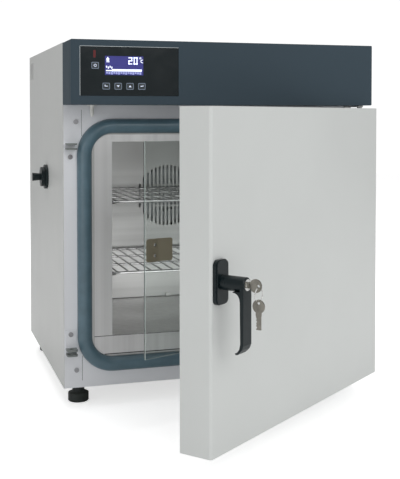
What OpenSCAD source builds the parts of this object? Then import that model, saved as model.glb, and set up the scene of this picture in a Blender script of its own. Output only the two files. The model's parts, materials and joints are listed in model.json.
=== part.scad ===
// Bench-top laboratory incubator with an insulated outer door, an inner glass door and wire shelves.
// Millimetres. X runs to the right, Y to the back, Z up. The origin lies on the bench between the feet.

/* [Cabinet] */
// Width of the cabinet
body_w = 590; // [500:1:680]
// Depth of the cabinet behind its front frame
body_d = 500; // [440:1:580]
// Height of the cabinet without its feet
body_h = 648; // [560:1:740]
// Height of the cabinet's underside above the bench
foot_h = 37; // [32:1:45]
// Thickness of the painted casing sheet
sheet = 1.2; // [1:0.1:2]
// Width of the folded edges of the casing sheets
hem = 15; // [10:1:20]

/* [Chamber] */
// Thickness of the insulated side walls
wall_side = 92.5; // [91:0.5:110]
// Space behind the chamber for the fan motor and the insulation
wall_back = 90; // [85:1:110]
// Distance from the chamber's ceiling up to the hood
wall_top = 69; // [66:1:90]
// Height of the chamber floor above the cabinet's underside
chamber_floor = 95; // [92:1:110]
// Thickness of the stainless liner
liner_t = 1; // [0.8:0.1:1.5]
// Distance from the slotted rear baffle to the liner's rear wall
fan_space = 60; // [56:1:75]
// Thickness of the rear baffle
baffle_t = 1.5; // [1:0.1:2]
// Width of the stainless trim strips beside the opening
trim_side = 33.5; // [28:0.5:36]
// Height of the trim strip above the opening
trim_top = 13; // [10:0.5:14]
// Height of the sill strip under the opening
trim_sill = 37; // [30:0.5:38]
// Thickness of the trim strips
trim_t = 1.2; // [1:0.1:2]

/* [Door seal] */
// Width of the seal's bulb
seal_w = 27.5; // [22:0.5:30]
// How far the seal stands in front of the frame
seal_h = 15.9; // [14:0.1:16.5]
// Inner corner radius of the seal
seal_r = 41; // [35:1:50]
// Distance from the chamber's side to the seal
seal_side = 39; // [38:0.5:42]
// Distance from the chamber's ceiling to the seal
seal_top = 16; // [15:0.5:18]
// Distance from the chamber's floor to the seal
seal_sill = 40; // [40:0.5:44]

/* [Hood] */
// Height of the control hood
hood_h = 116; // [112:1:120]
// How far the hood stands in front of the frame
hood_d = 90; // [85:1:100]
// Thickness of the hood's sheet
hood_t = 1.5; // [1:0.1:2]
// Depth of the hood's separate front cover
hood_cap = 11; // [8:1:15]
// Width of the control panel
panel_w = 181; // [175:1:200]
// Height of the control panel
panel_h = 87.5; // [84:0.5:92]
// Thickness of the control panel
panel_t = 3; // [2:0.1:4]
// Distance from the hood's left side to the control panel
panel_inset = 17; // [12:1:24]

/* [Outer door] */
// Thickness of the door's painted shell
door_t = 57; // [54:1:60]
// Gap between the hood and the door's top edge
door_gap = 5.5; // [5:0.1:7]
// Height of the door's bottom edge above the cabinet's underside
door_drop = 4; // [3.6:0.1:6]
// Rounding of the door's upright edges
door_edge_r = 5; // [3:0.5:8]
// Thickness of the door's sheet
door_sheet = 1.5; // [1:0.1:2]
// Angle at which the door stands open
door_open = 38.5; // [5:0.5:90]
// Distance from the hinge axis to the door's hinge edge
hinge_inset = 9; // [8.6:0.1:12]
// Distance from the hinge axis to the door's front face
hinge_back = 34; // [30:1:38]
// Radius of the hinge pins
hinge_pin_r = 5; // [4:0.1:5.2]

/* [Handle] */
// Distance from the handle's axis to the door's free edge
handle_inset = 19.5; // [18:0.5:21]
// Height of the handle's axis above the middle of the door
handle_up = 1.25; // [-20:0.25:28]
// How far the lever's front stands out from the door
handle_out = 50; // [46:1:60]
// Diameter of the handle's neck, which is the width of the lever too
handle_neck = 22.5; // [20:0.5:24]
// Length of the lever below its axis
lever_len = 104; // [86:1:112]
// Width of the handle's base plate
base_w = 31.5; // [30:0.5:33]
// Height of the handle's base plate
base_h = 67; // [60:1:80]
// Thickness of the handle's base plate
base_t = 8; // [6:0.5:10]
// Radius of the crank inside the door that drives the latch rod
crank_r = 9; // [8:0.5:9.5]

/* [Inner door] */
// How far the glass laps over the opening above and below
glass_over = 5; // [2.5:0.5:8]
// Thickness of the glass
glass_t = 4; // [3:0.5:5]
// Distance from the inner door's hinge axis to the chamber's side
glass_hinge = 19.5; // [17:0.5:22]
// How far the glass laps over the far side of the opening
glass_lap = 13.5; // [8:0.5:20]
// Angle at which the inner door stands open
glass_open = 23; // [5:0.5:35]

/* [Shelves] */
// Height of the upper shelf as a share of the chamber's height
upper_share = 0.69; // [0.62:0.01:0.76]
// Height of the lower shelf as a share of the chamber's height
lower_share = 0.318; // [0.22:0.002:0.4]
// Spacing of the shelf wires
wire_pitch = 22; // [18:1:28]
// Diameter of the shelf's rim wire
rim_d = 5; // [4:0.1:5.5]
// Diameter of the shelf's thin wires
wire_d = 3.2; // [2.5:0.1:3.6]

/* [Fan] */
// Diameter of the slotted field in the baffle
fan_field_d = 140; // [120:1:150]
// Spacing of the slots
slot_pitch = 9.2; // [8.5:0.1:11]
// Width of a slot
slot_w = 4.4; // [3.5:0.1:5]
// Height of the fan's axis as a share of the chamber's height
fan_share = 0.635; // [0.6:0.005:0.66]
// Diameter of the fan wheel
fan_d = 124; // [110:1:128]
// Number of blades on the fan wheel
fan_blades = 12; // [8:1:16]

/* [Side port] */
// Bore of the side port
port_d = 30; // [25:0.5:30]
// Distance from the front frame to the port's axis
port_back = 214; // [190:1:240]
// Distance from the chamber's ceiling down to the port's axis
port_drop = 77.5; // [62:0.5:92]

/* [Feet] */
// Diameter of a foot's base
foot_d = 39.6; // [34:0.2:44]
// Distance from the cabinet's side to a foot's axis
foot_in_x = 35; // [30:1:45]
// Distance from the cabinet's front or back to a foot's axis
foot_in_y = 45; // [35:1:60]

/* [Hidden] */
$fn = 48;

// Play and fits
fit = 0.05;
play = 0.3;
key_play = 0.2;
seal_play = 0.4;
eps = 0.01;

// Colours
paint_grey = [0.72, 0.73, 0.72];
frame_grey = [0.66, 0.66, 0.68];
hood_slate = [0.24, 0.28, 0.31];
steel = [0.62, 0.62, 0.62];
zinc = [0.72, 0.74, 0.73];
gloss_black = [0.11, 0.14, 0.15];
black_plastic = [0.12, 0.14, 0.14];
seal_grey = [0.25, 0.34, 0.38];
wool = [0.80, 0.76, 0.62];

// Cabinet
side_x = body_w / 2;
front_y = -body_d / 2;
back_y = body_d / 2;
body_z0 = foot_h;
body_z1 = foot_h + body_h;
inner_x = side_x - sheet;

// Chamber
cham_x = side_x - wall_side;
cham_z0 = body_z0 + chamber_floor;
cham_z1 = body_z1 - hood_h - wall_top;
cham_h = cham_z1 - cham_z0;
cham_back = back_y - wall_back;
baffle_y = cham_back - fan_space;

// Seal, with the frame's window and the liner's flange meeting under its middle
seal_x = cham_x + seal_side;
seal_z0 = cham_z0 - seal_sill;
seal_z1 = cham_z1 + seal_top;
seal_mid = seal_w / 2;
seal_foot_w = 1.5;
flange_edge = seal_mid - seal_foot_w / 2 - play;
window_edge = seal_mid + seal_foot_w / 2 + play;
trim_y = front_y - trim_t;

// Hood
hood_z0 = body_z1 - hood_h;
hood_y = front_y - hood_d;
hood_r = 2;
panel_x0 = -side_x + panel_inset;
panel_x1 = panel_x0 + panel_w;
panel_z0 = hood_z0 + (hood_h - panel_h) / 2 + 2;
panel_proud = 0.6;
panel_y = hood_y - panel_proud;
panel_back = panel_y + panel_t;
board_y = hood_y + 14;
board_t = 1.6;
screen_w = 70.4;
screen_h = 34;
screen_x = panel_x0 + 44.6;
screen_z = panel_z0 + 36.7;
key_w = 14;
key_h = 12.5;
key_travel = 0.8;
key_z = panel_z0 + 16.7;
key_x0 = panel_x0 + 46.8;
key_pitch = 21.8;
power_x = panel_x0 + 27;
power_z = panel_z0 + 53.5;
lamp_x = panel_x0 + 25.8;
lamp_z = panel_z0 + 74;
lamp_w = 4.5;
lamp_h = 14;

// Outer door, drawn closed and then swung about its hinge axis
door_y0 = hood_y;
door_y1 = door_y0 + door_t;
door_z0 = body_z0 + door_drop;
door_z1 = hood_z0 - door_gap;
hinge_x = side_x - hinge_inset;
hinge_y = door_y0 + hinge_back;
pin_engage = 20;
bush_r = hinge_pin_r + 2;
hinge_plate = 3;
pan_lap = 2;
pan_y = front_y - seal_h - seal_play;
pan_x = seal_x + seal_w + pan_lap;
pan_z0 = seal_z0 - seal_w - pan_lap;
pan_z1 = seal_z1 + seal_w + pan_lap;
pan_r = 24;
pan_sheet = 1;
door_lip = 14;

// Handle, latch rod and keepers; the handle's own frame has its outward axis along +Z
axis_x = -side_x + handle_inset;
axis_z = (door_z0 + door_z1) / 2 + handle_up;
spindle_r = 6;
lock_r = 8.5;
crank_a = 45;
rod_x = axis_x - crank_r * cos(crank_a);
crank_pin_r = 3;
crank_t = 5;
crank_y = door_y0 + 14;
crank_disc_r = 12.5;
rod_w = 10;
rod_t = 4;
rod_y = crank_y + crank_t + 2;
catch_y = front_y - 14;
keeper_w = 20;
keeper_t = 3;
keeper_out = 25;
keeper_step = 9;
keeper_up_z = cham_z1 - 2;
keeper_low_z = cham_z0 - 18;
channel_x = -side_x + 35;

// Latch hooks: each turns on a stud in the door's free edge, and a pin on the rod drives its slotted tail
hook_t = 4;
hook_y = door_y1 - 17;
hook_reach = catch_y - hook_y;
hook_arm_w = 9;
hook_hub_r = 6.5;
hook_stud_r = 2.5;
hook_gap = 0.5;
claw_w = 5;
claw_up = 11;
link_r = 2;
link_play = 0.9;
link_wall = 1.6;
link_y = hook_y - crank_r * cos(crank_a);
hook_under = hook_arm_w / 2 + 2;
hook_zs = [for (z = [keeper_up_z, keeper_low_z]) z - keeper_step - keeper_t - hook_under];

// Inner door
glass_ax = cham_x + glass_hinge;
glass_ay = trim_y - 6.8;
glass_y = trim_y - 2 - glass_t;
glass_x0 = -cham_x - glass_lap;
glass_x1 = glass_ax - 10;
glass_z0 = cham_z0 - glass_over;
glass_z1 = cham_z1 + glass_over;
glass_pin_r = 2;
knuckle_r = 4.5;
glass_hinge_in = 48;
leaf_h = 30;
catch_w = 52;
catch_h = 40;
catch_t = 1.5;
catch_bend = 13;

// Shelves
shelf_side = 4;
shelf_x = cham_x - shelf_side;
shelf_front = front_y + 20;
shelf_back = baffle_y - 8;
shelf_hi = upper_share * cham_h;
shelf_lo = lower_share * cham_h;

// Fan and port
fan_axis_z = cham_z0 + fan_share * cham_h;
shaft_r = 4;
wheel_y = baffle_y + 14;
wheel_t = 28;
port_y = front_y + port_back;
port_axis_z = cham_z1 - port_drop;
sleeve_r = port_d / 2 + 2;

// Outline with round corners, centred
module rounded(w, h, r) {
    square([w - 2 * r, h], center = true);
    square([w, h - 2 * r], center = true);
    for (x = [-1, 1], y = [-1, 1])
        translate([x * (w / 2 - r), y * (h / 2 - r)]) circle(r);
}

// Plate with round corners that stands upright and faces the front, from y0 to y1
module upright(x0, x1, z0, z1, y0, y1, r) {
    translate([(x0 + x1) / 2, y1, (z0 + z1) / 2]) rotate([90, 0, 0])
        linear_extrude(y1 - y0) rounded(x1 - x0, z1 - z0, r);
}

// Box from one corner to the other
module block(a, b) {
    translate(a) cube([b[0] - a[0], b[1] - a[1], b[2] - a[2]]);
}

// Cylinder along Y from y0 to y1
module rod_along_y(x, z, y0, y1, r) {
    translate([x, y1, z]) rotate([90, 0, 0]) cylinder(h = y1 - y0, r = r);
}

// Cylinder along X from x0 to x1
module rod_along_x(y, z, x0, x1, r) {
    translate([x0, y, z]) rotate([0, 90, 0]) cylinder(h = x1 - x0, r = r);
}

// Pan head screw whose head stands on the face at y and points to the front
module front_screw(x, z, y, head_r = 4.5, head_h = 2.4, shank_r = 2, shank = 8) {
    difference() {
        union() {
            rod_along_y(x, z, y - head_h, y, head_r);
            rod_along_y(x, z, y - eps, y + shank, shank_r);
        }
        translate([x - 0.5, y - head_h - eps, z - head_r * 0.6]) cube([1, 1.2, head_r * 1.2]);
        translate([x - head_r * 0.6, y - head_h - eps, z - 0.5]) cube([head_r * 1.2, 1.2, 1]);
    }
}

// Clearance for a screw's shank through a front-facing sheet
module screw_hole(x, z, y0, y1, r = 2) {
    rod_along_y(x, z, y0 - eps, y1 + eps, r);
}

// Swings what is drawn for the closed outer door to where the door stands
module on_door() {
    translate([hinge_x, hinge_y, 0]) rotate([0, 0, door_open]) translate([-hinge_x, -hinge_y, 0]) children();
}

// Swings what is drawn for the closed inner door to where it stands
module on_glass() {
    translate([glass_ax, glass_ay, 0]) rotate([0, 0, glass_open])
        translate([-glass_ax, -glass_ay, 0]) children();
}

// Puts a shape in the handle's own frame on the closed door: +Z points out of the door, -Y down the lever
module on_handle() {
    on_door() translate([axis_x, door_y0, axis_z]) rotate([90, 0, 0]) children();
}

// Sweeps an upright profile along a rounded rectangle; the profile's x is the distance out from the
// rectangle and its y is the height above the plane
module sweep_ring(x0, x1, y0, y1, r) {
    module straight(len) { rotate([90, 0, 0]) linear_extrude(len) children(); }
    module corner() { rotate_extrude(angle = 90, $fn = 96) translate([r, 0]) children(); }
    translate([x1, y1 - r, 0]) straight(y1 - y0 - 2 * r) children();
    translate([x0, y0 + r, 0]) rotate([0, 0, 180]) straight(y1 - y0 - 2 * r) children();
    translate([x0 + r, y1, 0]) rotate([0, 0, 90]) straight(x1 - x0 - 2 * r) children();
    translate([x1 - r, y0, 0]) rotate([0, 0, 270]) straight(x1 - x0 - 2 * r) children();
    translate([x1 - r, y1 - r, 0]) corner() children();
    translate([x0 + r, y1 - r, 0]) rotate([0, 0, 90]) corner() children();
    translate([x0 + r, y0 + r, 0]) rotate([0, 0, 180]) corner() children();
    translate([x1 - r, y0 + r, 0]) rotate([0, 0, 270]) corner() children();
}

// Side panels: sheet with folded edges at the front and back
vent_rows = 6;
vent_w = 4;
vent_h = 38;
vent_pitch = 9;
vent_back = 22;
vent_top = 34;

module side_sheet() {
    block([inner_x, front_y, body_z0], [side_x, back_y, body_z1]);
    block([side_x - hem, front_y + sheet, body_z0 + sheet], [inner_x, front_y + 2 * sheet, body_z1 - sheet]);
    block([side_x - hem, back_y - 2 * sheet, body_z0 + sheet], [inner_x, back_y - sheet, body_z1 - sheet]);
}

module side_vents() {
    for (i = [0:vent_rows - 1])
        translate([side_x - sheet / 2, back_y - vent_back - i * vent_pitch, body_z1 - vent_top])
            rotate([90, 0, 90]) linear_extrude(3 * sheet, center = true)
                rounded(vent_w, vent_h, vent_w / 2 - eps);
}

module rear_hem_holes() {
    for (z = rear_zs) screw_hole(inner_x - rear_screw_in, z, back_y - 2 * sheet, back_y);
}

module right_side_panel() {
    color(paint_grey) difference() {
        side_sheet();
        side_vents();
        rear_hem_holes();
        for (z = hinge_screw_zs) screw_hole(hinge_x, z, front_y, front_y + 3 * sheet);
    }
}

module left_side_panel() {
    color(paint_grey) difference() {
        mirror([1, 0, 0]) difference() {
            side_sheet();
            side_vents();
            rear_hem_holes();
        }
        for (z = keeper_screw_zs) screw_hole(keeper_x, z, front_y, front_y + 3 * sheet);
        rod_along_x(port_y, port_axis_z, -side_x - 1, -inner_x + 1, sleeve_r);
    }
}

module top_panel() {
    color(paint_grey) {
        block([-inner_x, front_y + sheet, body_z1 - sheet], [inner_x, back_y - sheet, body_z1]);
        for (s = [-1, 1])
            translate([s * (inner_x - sheet / 2), 0, body_z1 - sheet - (hem - 3) / 2])
                cube([sheet, body_d - 4 * hem, hem - 3], center = true);
    }
}

// Rear panel with louvres behind the electronics and screws along its edges
rear_screw_in = 8;
rear_zs = [body_z0 + 30, body_z0 + body_h / 3, body_z0 + 2 * body_h / 3, body_z1 - 30];
rear_xs = [-side_x / 2, 0, side_x / 2];
louvre_n = 7;
louvre_w = 60;
louvre_h = 4;
louvre_pitch = 9;
inlet_x = side_x - 90;
inlet_z = body_z1 - 62;
inlet_w = 48;
inlet_h = 28;

module rear_panel() {
    color(paint_grey) difference() {
        union() {
            block([-inner_x, back_y - sheet, body_z0], [inner_x, back_y, body_z1]);
            block([-inner_x + hem, back_y - 2 * sheet, body_z0 + 2 * sheet],
                [inner_x - hem, back_y - sheet, body_z0 + hem]);
        }
        for (i = [0:louvre_n - 1], x = [-1, 0])
            translate([x * (louvre_w + 20), back_y - sheet, body_z1 - 34 - i * louvre_pitch])
                rotate([90, 0, 0]) linear_extrude(4 * sheet, center = true)
                    rounded(louvre_w, louvre_h, louvre_h / 2 - eps);
        block([inlet_x - inlet_w / 2, back_y - 3 * sheet, inlet_z - inlet_h / 2],
            [inlet_x + inlet_w / 2, back_y + sheet, inlet_z + inlet_h / 2]);
        for (z = rear_zs, s = [-1, 1])
            screw_hole(s * (inner_x - rear_screw_in), z, back_y - 2 * sheet, back_y);
        for (x = rear_xs, z = [body_z0 + rear_screw_in, body_z1 - rear_screw_in])
            screw_hole(x, z, back_y - 2 * sheet, back_y);
    }
}

// Base pan with a folded rim and holes for the foot bushes
module base_pan() {
    color(paint_grey) difference() {
        union() {
            block([-inner_x, front_y + sheet, body_z0], [inner_x, back_y - sheet, body_z0 + sheet]);
            for (s = [-1, 1])
                translate([s * (inner_x - sheet / 2), 0, body_z0 + sheet + (hem - 3) / 2])
                    cube([sheet, body_d - 4 * hem, hem - 3], center = true);
        }
        for (x = [-1, 1], y = [-1, 1])
            translate([x * (side_x - foot_in_x), y * (back_y - foot_in_y), body_z0 - 1])
                cylinder(h = 4, r = bush_hole_r);
    }
}

// Painted front frame with the window for the chamber and a cable way into the hood
frame_screw_x = side_x - 24;
frame_screw_zs = [body_z0 + 33.5, hood_z0 - 31.5];
seam_x = side_x - 38;
seam_w = 0.8;
seam_h = 26;
cable_way_in = 60;

module front_frame() {
    color(frame_grey) difference() {
        block([-inner_x, front_y, body_z0], [inner_x, front_y + sheet, body_z1]);
        upright(-seal_x - window_edge, seal_x + window_edge, seal_z0 - window_edge, seal_z1 + window_edge,
            front_y - 1, front_y + 2 * sheet, seal_r + window_edge);
        block([-side_x + cable_way_in, front_y - 1, hood_z0 + 22],
            [side_x - cable_way_in, front_y + 2 * sheet, body_z1 - 22]);
        for (s = [-1, 1]) {
            for (z = frame_screw_zs) screw_hole(s * frame_screw_x, z, front_y, front_y + sheet);
            block([s * seam_x - seam_w / 2, front_y - 1, body_z0 + 22],
                [s * seam_x + seam_w / 2, front_y + sheet / 2, body_z0 + 22 + seam_h]);
            block([s * seam_x - seam_w / 2, front_y - 1, hood_z0 - 17 - seam_h],
                [s * seam_x + seam_w / 2, front_y + sheet / 2, hood_z0 - 17]);
        }
        for (z = keeper_screw_zs) screw_hole(keeper_x, z, front_y, front_y + sheet);
        for (z = hinge_screw_zs) screw_hole(hinge_x, z, front_y, front_y + sheet);
    }
}

// All pan head screws of the casing: frame, keepers, hinge brackets and rear panel
module casing_screws() {
    color(zinc) {
        for (s = [-1, 1], z = frame_screw_zs) front_screw(s * frame_screw_x, z, front_y);
        for (z = keeper_screw_zs) front_screw(keeper_x, z, front_y - 2);
        for (z = hinge_screw_zs) front_screw(hinge_x, z, front_y - hinge_plate, shank = 10);
        mirror([0, 1, 0]) {
            for (z = rear_zs, s = [-1, 1])
                front_screw(s * (inner_x - rear_screw_in), z, -back_y, shank = 6);
            for (x = rear_xs, z = [body_z0 + rear_screw_in, body_z1 - rear_screw_in])
                front_screw(x, z, -back_y, shank = 6);
        }
    }
}

// Stainless chamber with a front flange that ends under the seal
module chamber_liner() {
    color(steel) difference() {
        union() {
            block([-cham_x - liner_t, front_y, cham_z0 - liner_t],
                [cham_x + liner_t, cham_back, cham_z1 + liner_t]);
            upright(-seal_x - flange_edge, seal_x + flange_edge, seal_z0 - flange_edge, seal_z1 + flange_edge,
                front_y, front_y + liner_t, seal_r + flange_edge);
        }
        block([-cham_x, front_y - 1, cham_z0], [cham_x, cham_back - liner_t, cham_z1]);
        rod_along_x(port_y, port_axis_z, -cham_x - 2 * liner_t, -cham_x + 1, sleeve_r);
        rod_along_y(0, fan_axis_z, cham_back - 2 * liner_t, cham_back + 1, 16);
        for (s = [-1, 1])
            rod_along_y(s * lead_x, lead_z, cham_back - 2 * liner_t, cham_back + 1, lead_hole_r);
    }
}

// Four trim strips round the opening, with butt joints, their corners cut to follow the seal
joint_gap = 0.3;

module opening_trim() {
    color(steel) intersection() {
        union() {
            for (s = [-1, 1])
                block([min(s * cham_x, s * (cham_x + trim_side)), trim_y, cham_z0 + joint_gap],
                    [max(s * cham_x, s * (cham_x + trim_side)), front_y, cham_z1 + trim_top]);
            block([-cham_x + joint_gap, trim_y, cham_z1], [cham_x - joint_gap, front_y, cham_z1 + trim_top]);
            block([-cham_x - trim_side, trim_y, cham_z0 - trim_sill], [cham_x + trim_side, front_y, cham_z0]);
        }
        upright(-seal_x + play, seal_x - play, seal_z0 + play, seal_z1 - play, trim_y - 1, front_y + 1,
            seal_r - play);
    }
}

// Slotted baffle in front of the fan, with a bridge above and below the middle of the wide slots
bridge_z = 24;
bridge_h = 3;
bridge_from = 3;
slot_n = floor((fan_field_d / 2 - slot_w) / slot_pitch);
clip_w = 10;
clip_x = cham_x * 0.74;

module slot_column(x) {
    half = sqrt(pow(fan_field_d / 2, 2) - x * x);
    difference() {
        translate([x, 0]) rounded(slot_w, 2 * half, slot_w / 2 - eps);
        if (abs(x) < (bridge_from + 0.5) * slot_pitch)
            for (s = [-1, 1]) translate([x, s * bridge_z]) square([2 * slot_w, bridge_h], center = true);
    }
}

module rear_baffle() {
    color(steel) {
        difference() {
            block([-cham_x + 1, baffle_y, cham_z0 + 1], [cham_x - 1, baffle_y + baffle_t, cham_z1 - 1]);
            translate([0, baffle_y + baffle_t + 1, fan_axis_z]) rotate([90, 0, 0])
                linear_extrude(baffle_t + 2) for (i = [-slot_n:slot_n]) slot_column(i * slot_pitch);
        }
        for (s = [-1, 1])
            block([s * clip_x - clip_w, baffle_y + baffle_t, cham_z0 + 30],
                [s * clip_x + clip_w, cham_back - liner_t, cham_z0 + 32]);
        block([-clip_w / 2, baffle_y - 6, cham_z0 + 1], [clip_w / 2, baffle_y, cham_z0 + 7]);
    }
}

// Mineral wool between the chamber and the casing
wool_gap = 0.5;
wool_x0 = cham_x + liner_t + wool_gap;
wool_x1 = inner_x - wool_gap;
wool_front = front_y + 12;
wool_back = back_y - 8;
wool_z0 = body_z0 + 16;
wool_top = cham_z1 + liner_t + wool_gap;
tray_z = hood_z0 - 3;

module foot_pockets() {
    foot_places() translate([0, 0, wool_z0 - 1]) cylinder(h = foot_h - body_z0 + stud_len, r = stud_r + 3);
}

module insulation() {
    color(wool) {
        difference() {
            block([-wool_x1, wool_front, wool_z0], [-wool_x0, wool_back, tray_z - wool_gap]);
            rod_along_x(port_y, port_axis_z, -side_x, -cham_x + 2, sleeve_r + 1);
            foot_pockets();
        }
        difference() {
            block([wool_x0, wool_front, wool_z0], [wool_x1, wool_back, tray_z - wool_gap]);
            foot_pockets();
        }
        block([-wool_x0 + wool_gap, wool_front, wool_top],
            [wool_x0 - wool_gap, wool_back, tray_z - wool_gap]);
        block([-wool_x0 + wool_gap, wool_front, wool_z0],
            [wool_x0 - wool_gap, wool_back, cham_z0 - liner_t - wool_gap]);
        difference() {
            block([-wool_x0 + wool_gap, cham_back + 0.5, cham_z0 - liner_t],
                [wool_x0 - wool_gap, wool_back, cham_z1 + liner_t]);
            rod_along_y(0, fan_axis_z, cham_back, back_y, motor_r + 6);
            for (s = [-1, 1]) rod_along_y(s * lead_x, lead_z, cham_back, back_y, lead_hole_r + 4);
        }
    }
}

// Angle runners that carry the shelves' side wires, spot welded to the liner
runner_w = 12;
runner_t = 1.2;

module shelf_runners() {
    color(steel) for (z = [shelf_lo, shelf_hi], s = [-1, 1]) {
        base_z = cham_z0 + z - rim_d - play;
        block([min(s * cham_x, s * (cham_x - runner_w)), shelf_front - 2, base_z - runner_t],
            [max(s * cham_x, s * (cham_x - runner_w)), baffle_y - 2, base_z]);
        block([min(s * cham_x, s * (cham_x - runner_t)), shelf_front - 2, base_z],
            [max(s * cham_x, s * (cham_x - runner_t)), baffle_y - 2, base_z + 9]);
    }
}

// Resistance probe that reaches through the baffle's upper corner
probe_x = cham_x - 72.5;
probe_r = 3;

module temperature_probe() {
    color(zinc) {
        rod_along_y(probe_x, cham_z1 - 40, baffle_y - 45, baffle_y, probe_r);
        rod_along_y(probe_x, cham_z1 - 40, baffle_y - 4, baffle_y, probe_r + 3);
    }
}

// Fan motor on the liner's rear wall, its shaft through the wall
motor_r = 34;
motor_len = 60;
shaft_nose = 6;

module fan_motor() {
    color(zinc) {
        rod_along_y(0, fan_axis_z, cham_back + 3, cham_back + motor_len, motor_r);
        rod_along_y(0, fan_axis_z, cham_back, cham_back + 3 + eps, motor_r + 4);
        rod_along_y(0, fan_axis_z, wheel_y + shaft_nose, cham_back + eps, shaft_r);
    }
}

// Radial wheel: back disc, curved blades, front ring and hub with a running bore on the shaft
hub_r = 11;
blade_t = 1.6;
eye_r = 38;

module fan_wheel() {
    color(zinc) translate([0, wheel_y + wheel_t, fan_axis_z]) rotate([90, 0, 0]) difference() {
        union() {
            cylinder(h = 1.5, r = fan_d / 2);
            cylinder(h = wheel_t - 8, r = hub_r);
            translate([0, 0, wheel_t - 1.5]) difference() {
                cylinder(h = 1.5, r = fan_d / 2);
                translate([0, 0, -1]) cylinder(h = 4, r = eye_r);
            }
            for (i = [0:fan_blades - 1]) rotate([0, 0, i * 360 / fan_blades])
                translate([eye_r, -blade_t / 2, 1]) rotate([0, 0, 12])
                    cube([fan_d / 2 - eye_r - 1.5, blade_t, wheel_t - 1.8]);
        }
        translate([0, 0, -1]) cylinder(h = wheel_t - 2, r = shaft_r + fit);
    }
}

// Tubular heater round the wheel with two leads through the rear wall
heater_r = 78;
heater_tube = 3.25;
heater_y = wheel_y + 10;
lead_x = 22;
lead_r = heater_tube + 0.6;
lead_z = fan_axis_z - sqrt(heater_r * heater_r - lead_x * lead_x);
lead_hole_r = 5;

module heater_ring() {
    color([0.35, 0.33, 0.31]) {
        translate([0, heater_y, fan_axis_z]) rotate([90, 0, 0])
            rotate([0, 0, -90 + asin(lead_x / heater_r)])
                rotate_extrude(angle = 360 - 2 * asin(lead_x / heater_r), $fn = 96)
                    translate([heater_r, 0]) circle(heater_tube, $fn = 20);
        for (s = [-1, 1]) {
            rod_along_y(s * lead_x, lead_z, heater_y - lead_r, cham_back + 14, lead_r);
            rod_along_y(s * lead_x, lead_z, cham_back, cham_back + 3, lead_hole_r + 3);
        }
        for (s = [-1, 1]) block([s * heater_r - 1.5, heater_y, fan_axis_z - 6],
            [s * heater_r + 1.5, cham_back - liner_t, fan_axis_z + 6]);
    }
}

// Hollow bulb seal with a foot pressed between the frame's window and the liner's flange
seal_wall = 2.2;
seal_lift = 0.6;

module seal_profile() {
    difference() {
        union() {
            intersection() {
                square([seal_w, seal_h]);
                union() {
                    translate([seal_w / 2, seal_h - seal_w / 2]) circle(seal_w / 2);
                    square([seal_w, seal_h - seal_w / 2]);
                }
            }
            translate([seal_mid - seal_foot_w / 2, -liner_t]) square([seal_foot_w, liner_t + 1]);
        }
        translate([seal_w / 2, seal_h / 2 + seal_lift]) circle(seal_h / 2 - seal_wall, $fn = 32);
    }
}

module door_seal() {
    color(seal_grey) translate([0, front_y, 0]) rotate([90, 0, 0])
        sweep_ring(-seal_x, seal_x, seal_z0, seal_z1, seal_r) seal_profile();
}

// Tray over the insulation that carries the electronics
module electronics_tray() {
    color(zinc) {
        block([-inner_x, front_y + 2 * sheet, tray_z], [inner_x, back_y - 2 * sheet, tray_z + sheet]);
    }
}

// Supply on the tray, with a row of terminals along its front
supply_w = 160;
supply_d = 95;
supply_h = 45;
supply_x = side_x - 75 - supply_w;
supply_y = -40;
terminal_n = 6;
terminal_pitch = 12;
terminal_w = 10;
terminal_h = 14;

module power_supply() {
    color(zinc) translate([supply_x, supply_y, tray_z + sheet]) {
        cube([supply_w, supply_d, supply_h]);
        for (i = [0:terminal_n - 1])
            translate([6 + i * terminal_pitch, -terminal_pitch, 6])
                cube([terminal_w, terminal_pitch, terminal_h]);
    }
}

// Mains inlet in the rear panel: flange, body and three flat contacts in its well
module mains_inlet() {
    color(black_plastic) difference() {
        union() {
            block([inlet_x - inlet_w / 2 - 4, back_y, inlet_z - inlet_h / 2 - 4],
                [inlet_x + inlet_w / 2 + 4, back_y + 3, inlet_z + inlet_h / 2 + 4]);
            block([inlet_x - inlet_w / 2, back_y - 28, inlet_z - inlet_h / 2],
                [inlet_x + inlet_w / 2, back_y + eps, inlet_z + inlet_h / 2]);
        }
        block([inlet_x - 12.5, back_y - 14, inlet_z - 8.5], [inlet_x + 12.5, back_y + 4, inlet_z + 8.5]);
    }
    color(zinc) for (p = [[-7, -2], [7, -2], [0, 3]])
        block([inlet_x + p[0] - 1, back_y - 14, inlet_z + p[1] - 2.5],
            [inlet_x + p[0] + 1, back_y - 1, inlet_z + p[1] + 2.5]);
}

// Hood: a folded box behind a separate front cover, with a shadow gap between them
hood_seam = 1.2;
hood_seam_depth = 1;

module hood_body() {
    color(hood_slate) difference() {
        upright(-side_x, side_x, hood_z0, body_z1, hood_y + hood_cap, front_y, hood_r);
        upright(-side_x + hood_t, side_x - hood_t, hood_z0 + hood_t, body_z1 - hood_t,
            hood_y, front_y + 1, hood_r / 2);
    }
}

module hood_front() {
    color(hood_slate) difference() {
        union() {
            upright(-side_x, side_x, hood_z0, body_z1, hood_y, hood_y + hood_cap - hood_seam, hood_r);
            upright(-side_x + hood_seam_depth, side_x - hood_seam_depth, hood_z0 + hood_seam_depth,
                body_z1 - hood_seam_depth, hood_y, hood_y + hood_cap, hood_r / 2);
        }
        upright(-side_x + hood_t, side_x - hood_t, hood_z0 + hood_t, body_z1 - hood_t,
            hood_y + 2 * hood_t, hood_y + hood_cap + 1, hood_r / 2);
        block([panel_x0, hood_y - 1, panel_z0], [panel_x1, hood_y + 3 * hood_t, panel_z0 + panel_h]);
    }
}

// Gloss black control panel with windows for the display, the lamp and the keys
module key_window(x, z) {
    upright(x - key_w / 2 - key_play, x + key_w / 2 + key_play, z - key_h / 2 - key_play, z + key_h / 2 + key_play,
        panel_y - 1, panel_back + 1, 2);
}

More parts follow.
